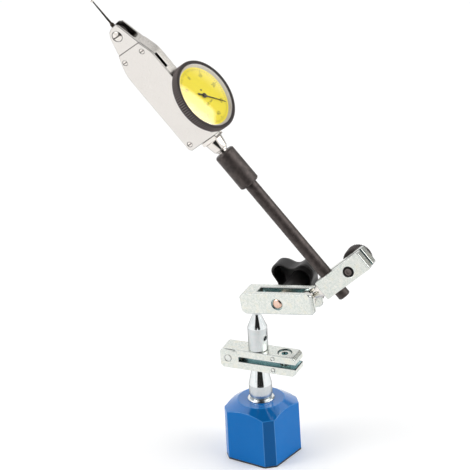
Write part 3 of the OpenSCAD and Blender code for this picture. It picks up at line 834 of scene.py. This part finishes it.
def crystal_material() -> Material:
    """Makes a clear crystal that lets light through to the dial.

    Returns:
        The material: glass for the eye, and clear for shadow and diffuse rays.
    """
    mat, tree, glass = principled("clear_crystal")
    feed(tree, glass, CRYSTAL)
    path = node(tree, "LightPath").outputs
    through = maths(tree, "MAXIMUM", path["Is Shadow Ray"], path["Is Diffuse Ray"])
    clear = node(tree, "BsdfTransparent").outputs["BSDF"]
    both = node(tree, "MixShader", {0: through, 1: glass.outputs["BSDF"], 2: clear})
    tree.links.new(both.outputs["Shader"], tree.nodes["Material Output"].inputs["Surface"])
    return mat


@cache
def material_of(finish: str) -> Material:
    """The material of a finish by name, built once."""
    return crystal_material() if finish == "crystal" else FINISHES[finish].material()


def dress(*names: str) -> None:
    """Gives nodes that stay as they are the finishes of their slots.

    Args:
        *names: the nodes.
    """
    for name in names:
        mesh = frame["nodes"][name].data
        mesh.materials.clear()
        mesh.materials.append(material_of(SLOT_OF[name]))
        LOG.info("%s dressed", name)


# Sub-assemblies


@dataclass
class MagnetBase:
    """Blue block with its bare sole and the magnet inside."""

    block_edge: float = 0.25
    block_sliver: float = 0.5
    sole_edge: float = 0.15

    def build(self) -> None:
        """Softens the block and sole and dresses the inner pieces."""
        softened("base_block", self.block_edge, segments=3, dull_axis=UP, sliver=self.block_sliver)
        softened("base_sole", self.sole_edge)
        dress("magnet_core", "centre_pole", "spacer_ring")


@dataclass
class FineAdjustment:
    """Post with the two-piece bar, its pins and its screw."""

    base_top: float = 30.0
    post_corners: Corners = (
        (0, -8), (3, -8), (3, 0.9), (4.6, 0.9), (5.45, 1.9), (5.75, 3.3), (5.75, 8.4), (3.8, 17.2),
        (2.5, 17.2), (2.5, 20.2), (0, 20.2))
    post_round: float = 0.35
    ring_corners: Corners = (
        (3.0, 0.4), (3.0, 0), (6.65, 0), (6.65, 0.5), (6.15, 0.9), (3.0, 0.9), (3.0, 0.4))
    ring_round: float = 0.25
    bar_edge: float = 0.4
    screw_edge: float = 0.2
    pin_edge: float = 0.22
    seam: Seam = Seam(BAR.origin, BAR.y, 6.2)
    # Painted shade in the slot between the bars, in the screw's bore and in its socket.
    slot: Hollow = Hollow(BAR, (5.0, -4.5, -1.4), (40.0, 4.5, 1.4))
    bore: Hollow = Hollow(SCREW, (-3.6, -3.6, 2.0), (3.6, 3.6, 5.0))
    socket: Hollow = Hollow(SCREW, (-2.0, -2.0, 2.0), (2.0, 2.0, 4.4))

    def build(self) -> None:
        """Revolves the post and ring and softens the bars, screw and pins."""
        foot = WORLD.shifted(z=self.base_top)
        turned("base_post", self.post_corners, foot, self.post_round, finish="bright_post")
        turned("foot_ring", self.ring_corners, foot, self.ring_round, finish="bright_post")
        softened("lower_bar", self.bar_edge, seam=self.seam, hollows=(self.slot,))
        softened("fine_lever", self.bar_edge, seam=self.seam, hollows=(self.slot, self.bore))
        softened("fine_screw", self.screw_edge, hollows=(self.socket,))
        for pin in ("pivot_pin", "lower_pin", "upper_pin"):
            softened(pin, self.pin_edge, finish="pin_steel")


@dataclass
class BallClamp:
    """Ball post, split clamp bar, bolt and hollow lobed knob."""

    post_edge: float = 0.25
    bar_edge: float = 0.6
    bar_half: float = 5.55
    bolt_at: float = 14.25
    bolt_corners: Corners = ((0, 5.5), (1.9, 5.4), (2.6, 4.9), (2.7, 4.4), (2.7, -20.5), (0, -20.5))
    bolt_round: float = 0.3
    hole: Seam = Seam(CLAMP.shifted(bolt_at).origin, CLAMP.y, 3.0, 0.4)
    # Painted shade in the clamp's slot and a dark ring round the bolt's mouth.
    slot: Hollow = Hollow(CLAMP, (-4.5, -2.5, -5), (40, 2.5, 5), 0.8)
    mouth: Hollow = Hollow(CLAMP.shifted(bolt_at, -bar_half), (-3.2, 0.05, -3.2), (3.2, 0.75, 3.2))
    lobes: int = 4
    lobe_flat: float = 0.55
    knob_r: float = 14.5
    valley_r: float = 9.3
    hub_r: float = 5.0
    knob_front: float = 0.81
    knob_corners: Corners = (
        (0, 14.2), (2.7, 14.2), (2.7, 0), (4.6, 0), (4.6, 16.7), (13.1, 16.7), (13.1, 9.2), (knob_r, 9.2),
        (knob_r, 16.2), (13.2, 18.1), (9.5, 18.7), (0, 18.9))
    knob_round: float = 0.9
    knob_steps: int = 6
    knob_sides: int = 256

    def lobe(self, angle: np.ndarray) -> np.ndarray:
        """Reach of the knob's outline: a mean plus a flattened cosine with one wave for each lobe.

        Args:
            angle: angles round the knob in radians.

        Returns:
            The reach at each angle in millimetres.
        """
        wave = np.cos(self.lobes * angle - math.pi)
        flat = (1 - self.lobe_flat) * wave + self.lobe_flat * np.sin(wave * math.pi / 2)
        return (self.knob_r + self.valley_r) / 2 + flat * (self.knob_r - self.valley_r) / 2

    def knob(self) -> None:
        """Makes the knob: a profile whose radius beyond the hub is scaled to the lobed outline."""
        profile = rounded(self.knob_corners, self.knob_round, self.knob_steps)
        share = (self.lobe(circle(self.knob_sides)) - self.hub_r) / (self.knob_r - self.hub_r)
        beyond = np.maximum(profile[:, :1] - self.hub_r, 0)
        at = CLAMP.shifted(self.bolt_at, self.bar_half + self.knob_front).along(Axis.Y)
        grid = revolve(profile, at, self.knob_sides, beyond * (1 - share))
        grid_piece("clamp_knob_moulded", grid, "clamp_handle", "black_plastic", "clamp_knob")

    def build(self) -> None:
        """Softens the bar and post, revolves the bolt and moulds the knob."""
        softened("ball_post", self.post_edge, finish="bright_post", dull_axis=UP)
        softened("clamp_bar", self.bar_edge, segments=3, seam=self.hole, hollows=(self.slot, self.mouth))
        bolt = CLAMP.shifted(self.bolt_at).along(Axis.MINUS_Y)
        turned("clamp_bolt", self.bolt_corners, bolt, self.bolt_round)
        self.knob()
        dress("knob_washer")


@dataclass
class RodHolder:
    """Ball stud, rod clamp block, thumb screw and knob, rod and sleeve.

    The stud's profile starts with an arc of its ball, whose angles run from the ball's free end.
    """

    block_edge: float = 0.4
    block_half: float = 5.0
    # Painted shade in the block's slot.
    slot: Hollow = Hollow(BLOCK, (20, -0.9, -4.9), (41, 0.9, 4.9), 0.8)
    ball_r: float = 4.3
    ball_arc: Span = (0.15, 2.68)
    ball_steps: int = 24
    neck: float = 11.7
    neck_corners: Corners = (
        (1.9, 5.2), (4.3, neck - 0.1), (2.4, neck - 0.1), (2.4, neck + 2.2), (0, neck + 2.2))
    stud_round: float = 0.15
    rod_at: float = 17.7
    rod_r: float = 3.175
    rod_free: float = 63.2
    rod_end: float = rod_free + 8
    rod_corners: Corners = ((0, -9.5), (rod_r - 0.6, -9.5), (rod_r, -8.9), (rod_r, rod_end), (0, rod_end))
    rod_round: float = 0.2
    sleeve_r: float = 5.3
    sleeve_top: float = 83.6
    sleeve_corners: Corners = (
        (rod_r, rod_free + 4), (rod_r, rod_free), (sleeve_r - 0.7, rod_free), (sleeve_r, rod_free + 0.7),
        (sleeve_r, sleeve_top - 0.7), (sleeve_r - 0.7, sleeve_top), (2.54, sleeve_top),
        (2.54, rod_free + 8.4), (rod_r, rod_free + 8.4), (rod_r, rod_free + 4))
    sleeve_round: float = 0.3
    thumb_at: float = 30.5
    screw_end: float = block_half + 0.2
    screw_corners: Corners = (
        (0, screw_end - 0.6), (0.9, screw_end - 0.6), (1.2, screw_end), (1.75, screw_end), (1.8, screw_end),
        (2.35, screw_end), (2.65, screw_end - 0.3), (2.65, -13), (0, -13))
    screw_round: float = 0.12
    # Painted shade: a dark ring on the screw's end for the gap round it.
    screw_shade_ring: Span = (1.78, 2.7)
    knob_corners: Corners = (
        (0, 7.9), (2.65, 7.9), (2.65, 0), (4.5, 0), (4.5, 2.5), (6.2, 2.5), (6.8, 3.0), (6.8, 9.0),
        (6.2, 9.5), (0, 9.5))
    knob_gap: float = 0.05
    knob_round: float = 0.25
    knob_teeth: int = 48
    knob_depth: float = 0.32
    knob_band: Span = (6.3, 6.7)

    def thumb_knob(self) -> None:
        """Makes the knurled thumb knob as a ring profile that dips between its teeth."""
        at = BLOCK.shifted(self.thumb_at, self.block_half + self.knob_gap).along(Axis.Y)
        mesh = knurled("thumb_knob_knurled", self.knob_corners, at, self.knob_round, self.knob_teeth,
                       self.knob_depth, self.knob_band)
        piece("thumb_knob_knurled", mesh, "thumb", "black_oxide", ("thumb_knob",))

    def build(self) -> None:
        """Softens the block and revolves the turned pieces."""
        softened("rod_clamp", self.block_edge, hollows=(self.slot,))
        ball = [(self.ball_r * math.sin(a), -self.ball_r * math.cos(a))
                for a in np.linspace(*self.ball_arc, self.ball_steps)]
        stud = ((0, -self.ball_r), *ball, *self.neck_corners)
        turned("ball_stud", stud, BLOCK.along(Axis.X), self.stud_round, finish="polished")
        rod = BLOCK.shifted(self.rod_at)
        turned("rod", self.rod_corners, rod, self.rod_round)
        turned("sleeve", self.sleeve_corners, rod, self.sleeve_round)
        screw = BLOCK.shifted(self.thumb_at).along(Axis.MINUS_Y)
        turned("thumb_screw", self.screw_corners, screw, self.screw_round, finish="oxide_edge",
               ring=self.screw_shade_ring)
        self.thumb_knob()


@dataclass
class IndicatorBody:
    """Case with its cover, screws, clamp plate and stem.

    The cover's screws are given along the case and across it.
    """

    case_from: float = 11.8
    half: float = 3.7
    case_edge: float = 0.25
    cover_edge: float = 0.22
    clamp_edge: float = 0.2
    # Painted shade in the nose's fork and in the notch on top of the case.
    fork: Hollow = Hollow(PIVOT, (-3.0, -2.3, -9.0), (2.5, 2.3, 8.0), 0.8)
    notch: Hollow = Hollow(INDICATOR, (7.0, -3.0, 51.0), (8.7, -0.5, 60.0), 0.95)
    stem_top: float = 7.7
    stem_end: float = 8.6
    stem_corners: Corners = (
        (0, -9), (2.5, -9), (2.5, 1), (3.2, 1.3), (3.2, 1.9), (3.8, 2.2), (4.8, stem_top), (2, stem_top),
        (2, stem_end), (0, stem_end))
    stem_round: float = 0.2
    screws: Corners = ((52.7, 4.3), (52.7, -8.4), (1.4, -10.2), (1.4, 6.0))
    screw_sink: float = 0.05
    screw_head: SlottedHead = SlottedHead(1.28, 0.12, 1.0, 0.17, 0.3)
    pivot_sink: float = 0.6
    pivot_head: SlottedHead = SlottedHead(2.7, 0.75, 2.9, 0.25, 0.4)

    def heads(self) -> None:
        """Makes the slotted heads of the cover's and pivot's screws."""
        side, out = self.half - self.screw_sink, self.half - self.pivot_sink
        covers = [INDICATOR.shifted(across, -side, self.case_from + along).along(Axis.MINUS_Y)
                  for along, across in self.screws]
        pivots = [PIVOT.shifted(y=-out).along(Axis.MINUS_Y), PIVOT.shifted(y=out).along(Axis.Y)]
        for screws, head, places in (("cover_screws", self.screw_head, covers),
                                     ("pivot_screws", self.pivot_head, pivots)):
            name = screws + "_domed"
            piece(name, head.mesh(name, places), "indicator", "polished", (screws,))

    def build(self) -> None:
        """Softens the case and cover, revolves the stem and adds the screw heads."""
        softened("case", self.case_edge, hollows=(self.fork, self.notch))
        softened("cover", self.cover_edge, finish="cover_chrome")
        softened("dovetail_clamp", self.clamp_edge)
        turned("stem", self.stem_corners, INDICATOR, self.stem_round)
        self.heads()
        dress("dial_seat")


@dataclass
class DialFace:
    """Bezel, dial with its marks, ring, crystal and pointer.

    The dial's own x runs to the right and its y to the stylus. Ticks are given for each tenth,
    each fifth and the rest. The crystal's domes are given by their rise over the dial and their fall
    to the rim, and the pointer's blade by places along it and half its width there.
    """

    dial_at: float = 12.5
    dial_t: float = 0.4
    dial_r: float = 16.9
    bezel_at: float = 10.5
    bezel_top: float = 15.1
    bezel_r: float = 18.8
    seat_r: float = 14.64
    groove_r: float = 16.24
    bezel_corners: Corners = (
        (seat_r, bezel_at + 0.4), (seat_r, bezel_at), (bezel_r - 0.6, bezel_at),
        (bezel_r - 0.35, bezel_at + 0.5), (bezel_r, bezel_at + 0.6), (bezel_r, bezel_top - 0.35),
        (bezel_r - 0.35, bezel_top - 0.15), (bezel_r - 0.45, bezel_top), (dial_r + 0.5, bezel_top),
        (dial_r, bezel_top - 0.3), (dial_r, dial_at), (groove_r, dial_at), (groove_r, bezel_at + 0.9),
        (seat_r, bezel_at + 0.9), (seat_r, bezel_at + 0.4))
    bezel_round: float = 0.18
    teeth: int = 96
    tooth_depth: float = 0.35
    tooth_band: Span = (bezel_r - 0.3, bezel_r - 0.1)
    plain_mark: float = 0.8
    divisions: int = 80
    tick_inner: Point = (12.9, 13.4, 13.8)
    tick_outer: float = 14.9
    tick_half: Point = (0.11, 0.07, 0.07)
    numbers: tuple[str, ...] = ("0", "10", "20", "30", "40", "30", "20", "10")
    number_r: float = 11.2
    number_size: float = 2.7
    unit_text: str = "0.01 mm"
    unit_size: float = 1.7
    unit_y: float = -4.2
    ink: float = 0.03
    mark_sharp: float = 30.0
    curve_steps: int = 3
    dot_at: Span = (-3.0, 1.1)
    dot_corners: Corners = ((0, -0.02), (0.5, -0.02), (0.5, 0.08), (0, 0.08))
    dot_round: float = 0.03
    dot_sides: int = 24
    domes: Corners = ((3.2, 0.94), (2.4, 0.69))
    dome_rings: int = 24
    dome_sides: int = 128
    blade_reach: float = dial_r - 3.1
    blade: Corners = (
        (-4.2, 0.0), (-3.9, 0.5), (-3.2, 0.5), (-2.6, 0.3), (-1.2, 0.4), (0, 0.5), (1.2, 0.42), (3.0, 0.3),
        (blade_reach, 0.1), (blade_reach, 0.0))
    blade_t: float = 0.2
    blade_rise: float = 0.75
    blade_turn: float = 45.0
    hub_corners: Corners = ((0.5, 0), (1.3, 0), (1.3, 0.35), (1.0, 0.5), (0, 0.5))
    hub_round: float = 0.08
    hub_sides: int = 48

    def on_dial(self, points: np.ndarray) -> np.ndarray:
        """Puts points drawn on the dial into the row frame.

        Args:
            points: right, towards the stylus and off the dial, in millimetres.

        Returns:
            The points in metres.
        """
        base = self.dial_at + self.dial_t
        return FACE.place(np.stack([-points[..., 1], points[..., 0], points[..., 2] + base], -1))

    def ticks(self) -> tuple[np.ndarray, np.ndarray]:
        """Thin boxes round the dial, longer on each fifth and tenth and wider on each tenth.

        Returns:
            The boxes' corners in dial millimetres and their faces.
        """
        k = np.arange(self.divisions)
        rank = np.where(k % 10 == 0, 0, np.where(k % 5 == 0, 1, 2))
        inner, half = np.array(self.tick_inner)[rank], np.array(self.tick_half)[rank]
        x = np.array([-1, 1, 1, -1] * 2)[None] * half[:, None]
        y = np.where(np.array([0, 0, 1, 1] * 2)[None] > 0, self.tick_outer, inner[:, None])
        z = np.repeat(np.array([[0, 0, 0, 0, 1, 1, 1, 1]]) * self.ink, len(k), 0)
        a = (2 * math.pi * k / self.divisions)[:, None]
        corners = np.stack([x * np.cos(a) + y * np.sin(a), y * np.cos(a) - x * np.sin(a), z], -1)
        box = np.array([[0, 3, 2, 1], [4, 5, 6, 7], [0, 1, 5, 4], [1, 2, 6, 5], [2, 3, 7, 6], [3, 0, 4, 7]])
        return corners.reshape(-1, 3), (box[None] + 8 * k[:, None, None]).reshape(-1, 4)

    def text(self, body: str, size: float, x: float, y: float) -> tuple[np.ndarray, list[list[int]]]:
        """Draws centred text as a thin solid.

        Args:
            body: the characters.
            size: height of the letters in millimetres.
            x: place to the right of the dial's centre.
            y: place towards the stylus.

        Returns:
            Corners in dial millimetres and faces.
        """
        curve = bpy.data.curves.new("digits", "FONT")
        curve.body, curve.size, curve.resolution_u = body, size, self.curve_steps
        curve.align_x, curve.align_y = "CENTER", "CENTER"
        curve.extrude = self.ink / 2
        obj = link("digits", curve)
        mesh = bpy.data.meshes.new_from_object(obj.evaluated_get(bpy.context.evaluated_depsgraph_get()))
        points = np.empty(len(mesh.vertices) * 3)
        mesh.vertices.foreach_get("co", points)
        faces = [list(p.vertices) for p in mesh.polygons]
        bpy.data.objects.remove(obj)
        bpy.data.curves.remove(curve)
        bpy.data.meshes.remove(mesh)
        return points.reshape(-1, 3) + [x, y, self.ink / 2], faces

    def marks(self) -> None:
        """Joins ticks and numbers into one printed piece and adds the small dot."""
        parts = [self.ticks()]
        for i, body in enumerate(self.numbers):
            a = 2 * math.pi * i / len(self.numbers)
            x, y = self.number_r * math.sin(a), self.number_r * math.cos(a)
            parts.append(self.text(body, self.number_size, x, y))
        parts.append(self.text(self.unit_text, self.unit_size, 0, self.unit_y))
        starts = np.cumsum([0] + [len(p) for p, _ in parts])
        points = np.concatenate([p for p, _ in parts])
        faces = [[int(v) + int(start) for v in f] for (_, part), start in zip(parts, starts) for f in part]
        mesh = bpy.data.meshes.new("dial_marks")
        mesh.from_pydata(self.on_dial(points).tolist(), [], faces)
        piece("dial_marks", finish_mesh(mesh, self.mark_sharp), "bezel", "pointer_black", finish="ink")
        at = FACE.shifted(*self.dot_at, self.dial_at + self.dial_t)
        dot = revolve(rounded(self.dot_corners, self.dot_round), at, self.dot_sides)
        grid_piece("dial_dot", dot, "bezel", "pointer_black")

    def bezel(self) -> None:
        """Makes the bezel as a ring profile whose outer band dips between knurl teeth."""
        mesh = knurled("bezel_knurled", self.bezel_corners, FACE, self.bezel_round, self.teeth,
                       self.tooth_depth, self.tooth_band, self.plain_mark)
        piece("bezel_knurled", mesh, "bezel", "bezel_black", ("bezel",))

    def crystal(self) -> None:
        """Makes the crystal: two domes that fall with the square of the radius."""
        share = np.linspace(0, 1, self.dome_rings)
        outer, inner = (np.stack([self.dial_r * share, self.dial_at + rise - fall * share ** 2], -1)
                        for rise, fall in self.domes)
        grid = revolve(np.concatenate([outer, inner[::-1]]), FACE, self.dome_sides)
        grid_piece("crystal_dome", grid, "bezel", "crystal", "crystal")

    def pointer(self) -> None:
        """Makes the pointer: a tapered blade with a short tail and a round hub on top."""
        at = FACE.shifted(z=self.dial_at + self.blade_rise)
        turn = math.radians(self.blade_turn)
        spine, half = np.array(self.blade).T
        across = half[:, None] * np.array([-1, 1, 1, -1])
        height = np.repeat(np.array([[0, 0, self.blade_t, self.blade_t]]), len(spine), 0)
        along = np.repeat(spine[:, None], 4, 1)
        local = np.stack([along * math.cos(turn) - across * math.sin(turn),
                          along * math.sin(turn) + across * math.cos(turn), height], -1)
        grid_piece("pointer_blade", at.place(local), "pointer", "pointer_black", "pointer")
        hub = revolve(rounded(self.hub_corners, self.hub_round), at, self.hub_sides)
        grid_piece("pointer_hub", hub, "pointer", "pointer_black")

    def build(self) -> None:
        """Makes the bezel, crystal, pointer and marks and dresses the rest."""
        self.bezel()
        self.crystal()
        self.pointer()
        self.marks()
        dress("dial", "dial_ring")


@dataclass
class Movement:
    """Pieces inside the case."""

    nodes: tuple[str, ...] = (
        "arbor_cock", "hairspring", "lever", "crown_arbor", "crown_wheel", "centre_arbor")

    def build(self) -> None:
        """Dresses the inner pieces."""
        dress(*self.nodes)


@dataclass
class Stylus:
    """Hub, tapered needle and ball."""

    length: float = 21.4
    ball_r: float = 1.0
    ball_rings: int = 25
    ball_round: float = 0.001
    needle_end: float = length - ball_r + 0.1
    needle_corners: Corners = (
        (0, 1.5), (0.6, 1.5), (0.6, 4.4), (1.05, 4.5), (1.05, 6.2), (0.55, 7), (0.3, needle_end),
        (0, needle_end))
    needle_round: float = 0.1
    hub_edge: float = 0.2
    sides: int = 48

    def build(self) -> None:
        """Revolves the needle and ball and softens the hub."""
        turned("stylus_stem", self.needle_corners, PIVOT, self.needle_round, self.sides, "needle")
        a = np.linspace(0, math.pi, self.ball_rings)
        ball = tuple(zip(self.ball_r * np.sin(a), self.length - self.ball_r * np.cos(a)))
        turned("stylus_ball", ball, PIVOT, self.ball_round, self.sides)
        softened("stylus_hub", self.hub_edge, finish="hub_oxide")


# Studio


@dataclass(frozen=True)
class Panel:
    """A stretch of the surroundings, with angles in degrees and its brightness.

    The middle is a compass angle from x towards y, and half is half the width. A half width of 180 goes
    all round, and a height of 90 has no upper border.
    """

    middle: float
    half: float
    low: float
    high: float
    soft: float
    value: float

    def mask(self, tree: NodeTree) -> NodeSocket:
        """Adds the panel's mask to a world.

        Args:
            tree: the world's tree.

        Returns:
            The mask, 1 inside.
        """
        place = node(tree, "TexCoord").outputs["Generated"]
        flat = node(tree, "VectorMath", {0: place, 1: (1, 1, 0)}, operation="MULTIPLY").outputs[0]
        level = node(tree, "VectorMath", {0: flat}, operation="NORMALIZE").outputs[0]
        m, half, low, high, soft = np.radians((self.middle, self.half, self.low, self.high, self.soft))
        towards = (math.cos(m), math.sin(m), 0)
        along = node(tree, "VectorMath", {0: level, 1: towards}, operation="DOT_PRODUCT").outputs["Value"]
        height = node(tree, "SeparateXYZ", {0: place}).outputs["Z"]
        mask = ramp(tree, height, (math.sin(low - soft), math.sin(low + soft)))
        if self.half < 180:
            sides = (math.cos(half + soft), math.cos(max(half - soft, 0.0)))
            mask = maths(tree, "MULTIPLY", mask, ramp(tree, along, sides))
        if self.high < 90:
            top = (math.sin(high + soft), math.sin(high - soft))
            mask = maths(tree, "MULTIPLY", mask, ramp(tree, height, top))
        return mask


@dataclass
class Studio:
    """Pale floor, soft light and the camera at the photograph's angle.

    The light tent has a dark opening behind the camera and, for shiny pieces, a dark roof.
    Its panels show stronger in the clear crystal than on the satin faces.
    """

    azimuth: float = 35.6
    elevation: float = 27.8
    roll: float = 3.15
    frame_width: float = 231.9
    distance: float = 10.0
    sensor: float = 36.0
    aim_right: float = -8.48
    aim_up: float = 107.17
    clip: Span = (1.0, 100.0)
    floor_reach: float = 30.0
    floor_front: float = 0.35
    tent: float = 0.95
    blue_share: float = 0.97
    opening: Panel = Panel(azimuth - 90, 32, -12, 85, 4, 0.02)
    roof: Panel = Panel(0, 180, 66, 90, 4, 0.03)
    satin_panels: tuple[Panel, ...] = (Panel(76, 17, -10, 36, 3, 0.3), Panel(45, 15.5, 4, 38, 1.5, 2.3))
    clear_panels: tuple[Panel, ...] = (
        Panel(64, 14, -10, 60, 4, 0.15), Panel(86, 15, -10, 40, 4, 2.4), Panel(45, 15.0, 17.5, 34, 1.2, 6.0))
    lamps: tuple[tuple[str, Point, float], ...] = (
        ("left", (-0.75, -0.9, 0.85), 6.0), ("right", (1.1, 0.35, 0.85), 4.6))
    lamp_size: float = 0.7
    lamp_aim: Point = (0, 0, 0.12)

    def axes(self) -> tuple[np.ndarray, np.ndarray, np.ndarray]:
        """Finds the camera's directions before its roll.

        Returns:
            The directions to the right, up and back.
        """
        a, e = math.radians(self.azimuth), math.radians(self.elevation)
        right = np.array([math.cos(a), math.sin(a), 0])
        back = np.array([math.sin(a) * math.cos(e), -math.cos(a) * math.cos(e), math.sin(e)])
        return right, np.cross(back, right), back

    def camera(self) -> None:
        """Places the camera far off on a long lens, because the photograph has almost parallel lines."""
        right, up, back = self.axes()
        r = math.radians(self.roll)
        across, above = right * math.cos(r) - up * math.sin(r), up * math.cos(r) + right * math.sin(r)
        spot = (right * self.aim_right + up * self.aim_up) * MM + back * self.distance
        data = bpy.data.cameras.new("camera")
        data.sensor_width = self.sensor
        data.lens = self.sensor * self.distance / (self.frame_width * MM)
        data.clip_start, data.clip_end = self.clip
        obj = link("camera", data)
        turn = Matrix([Vector(v) for v in (across, above, back)]).transposed().to_4x4()
        obj.matrix_world = Matrix.Translation(Vector(spot)) @ turn
        bpy.context.scene.camera = obj

    def floor(self) -> None:
        """Lays a plain pale floor at the foot of the object, which ends a little way in front of it."""
        right, _, back = self.axes()
        front = unit(back * [1, 1, 0])
        far = self.floor_reach
        corners = [right * side + front * ahead for side, ahead in
                   ((-far, -far), (far, -far), (far, self.floor_front), (-far, self.floor_front))]
        mesh = bpy.data.meshes.new("floor")
        mesh.from_pydata(np.array(corners).tolist(), [], [[3, 2, 1, 0]])
        obj = link("floor", mesh)
        mesh.materials.append(material_of("floor"))

    def surroundings(self, tree: NodeTree, panels: tuple[Panel, ...]) -> NodeSocket:
        """Paints the tent with its opening and some panels.

        Args:
            tree: the world's tree.
            panels: the panels, each over those before it.

        Returns:
            The colour.
        """
        colour = (self.tent, self.tent, self.tent, 1)
        for panel in (self.opening, *panels):
            shade = (panel.value, panel.value, panel.value * self.blue_share, 1)
            colour = mix(tree, panel.mask(tree), colour, shade)
        return colour

    def world(self) -> None:
        """Sets up the light tent, which the camera itself sees as plain white."""
        world = bpy.data.worlds.new("light_tent")
        bpy.context.scene.world = world
        world.use_nodes = True
        tree = world.node_tree
        path = node(tree, "LightPath").outputs
        roof = maths(tree, "MULTIPLY", self.roof.mask(tree), path["Is Glossy Ray"])
        grey = self.roof.value
        satin = mix(tree, roof, self.surroundings(tree, self.satin_panels), (grey, grey, grey, 1))
        clear = self.surroundings(tree, self.clear_panels)
        colour = mix(tree, path["Is Singular Ray"], satin, clear)
        plain = mix(tree, path["Is Camera Ray"], colour, (1, 1, 1, 1))
        tree.links.new(plain, tree.nodes["Background"].inputs["Color"])

    def light(self, name: str, spot: Point, watts: float) -> None:
        """Adds a soft square light that faces the object.

        Args:
            name: the light's name.
            spot: its place in metres.
            watts: its power.
        """
        data = bpy.data.lights.new(name, "AREA")
        data.shape = "SQUARE"
        data.size, data.energy = self.lamp_size, watts
        obj = link(name, data)
        turn = (Vector(self.lamp_aim) - Vector(spot)).to_track_quat("-Z", "Y")
        obj.matrix_world = Matrix.Translation(Vector(spot)) @ turn.to_matrix().to_4x4()

    def build(self) -> None:
        """Sets the whole studio up."""
        self.camera()
        self.floor()
        self.world()
        for name, spot, watts in self.lamps:
            self.light(name, spot, watts)
        settings = bpy.context.scene.view_settings
        settings.view_transform, settings.look = "Standard", "None"


def main() -> None:
    """Builds the studio and every sub-assembly in order."""
    logging.basicConfig(level=logging.INFO, format="%(name)s: %(message)s")
    Studio().build()
    for part in (MagnetBase(), FineAdjustment(), BallClamp(), RodHolder(), IndicatorBody(), DialFace(),
                 Movement(), Stylus()):
        part.build()
        LOG.info("%s built", type(part).__name__)


if __name__ == "__main__":
    main()
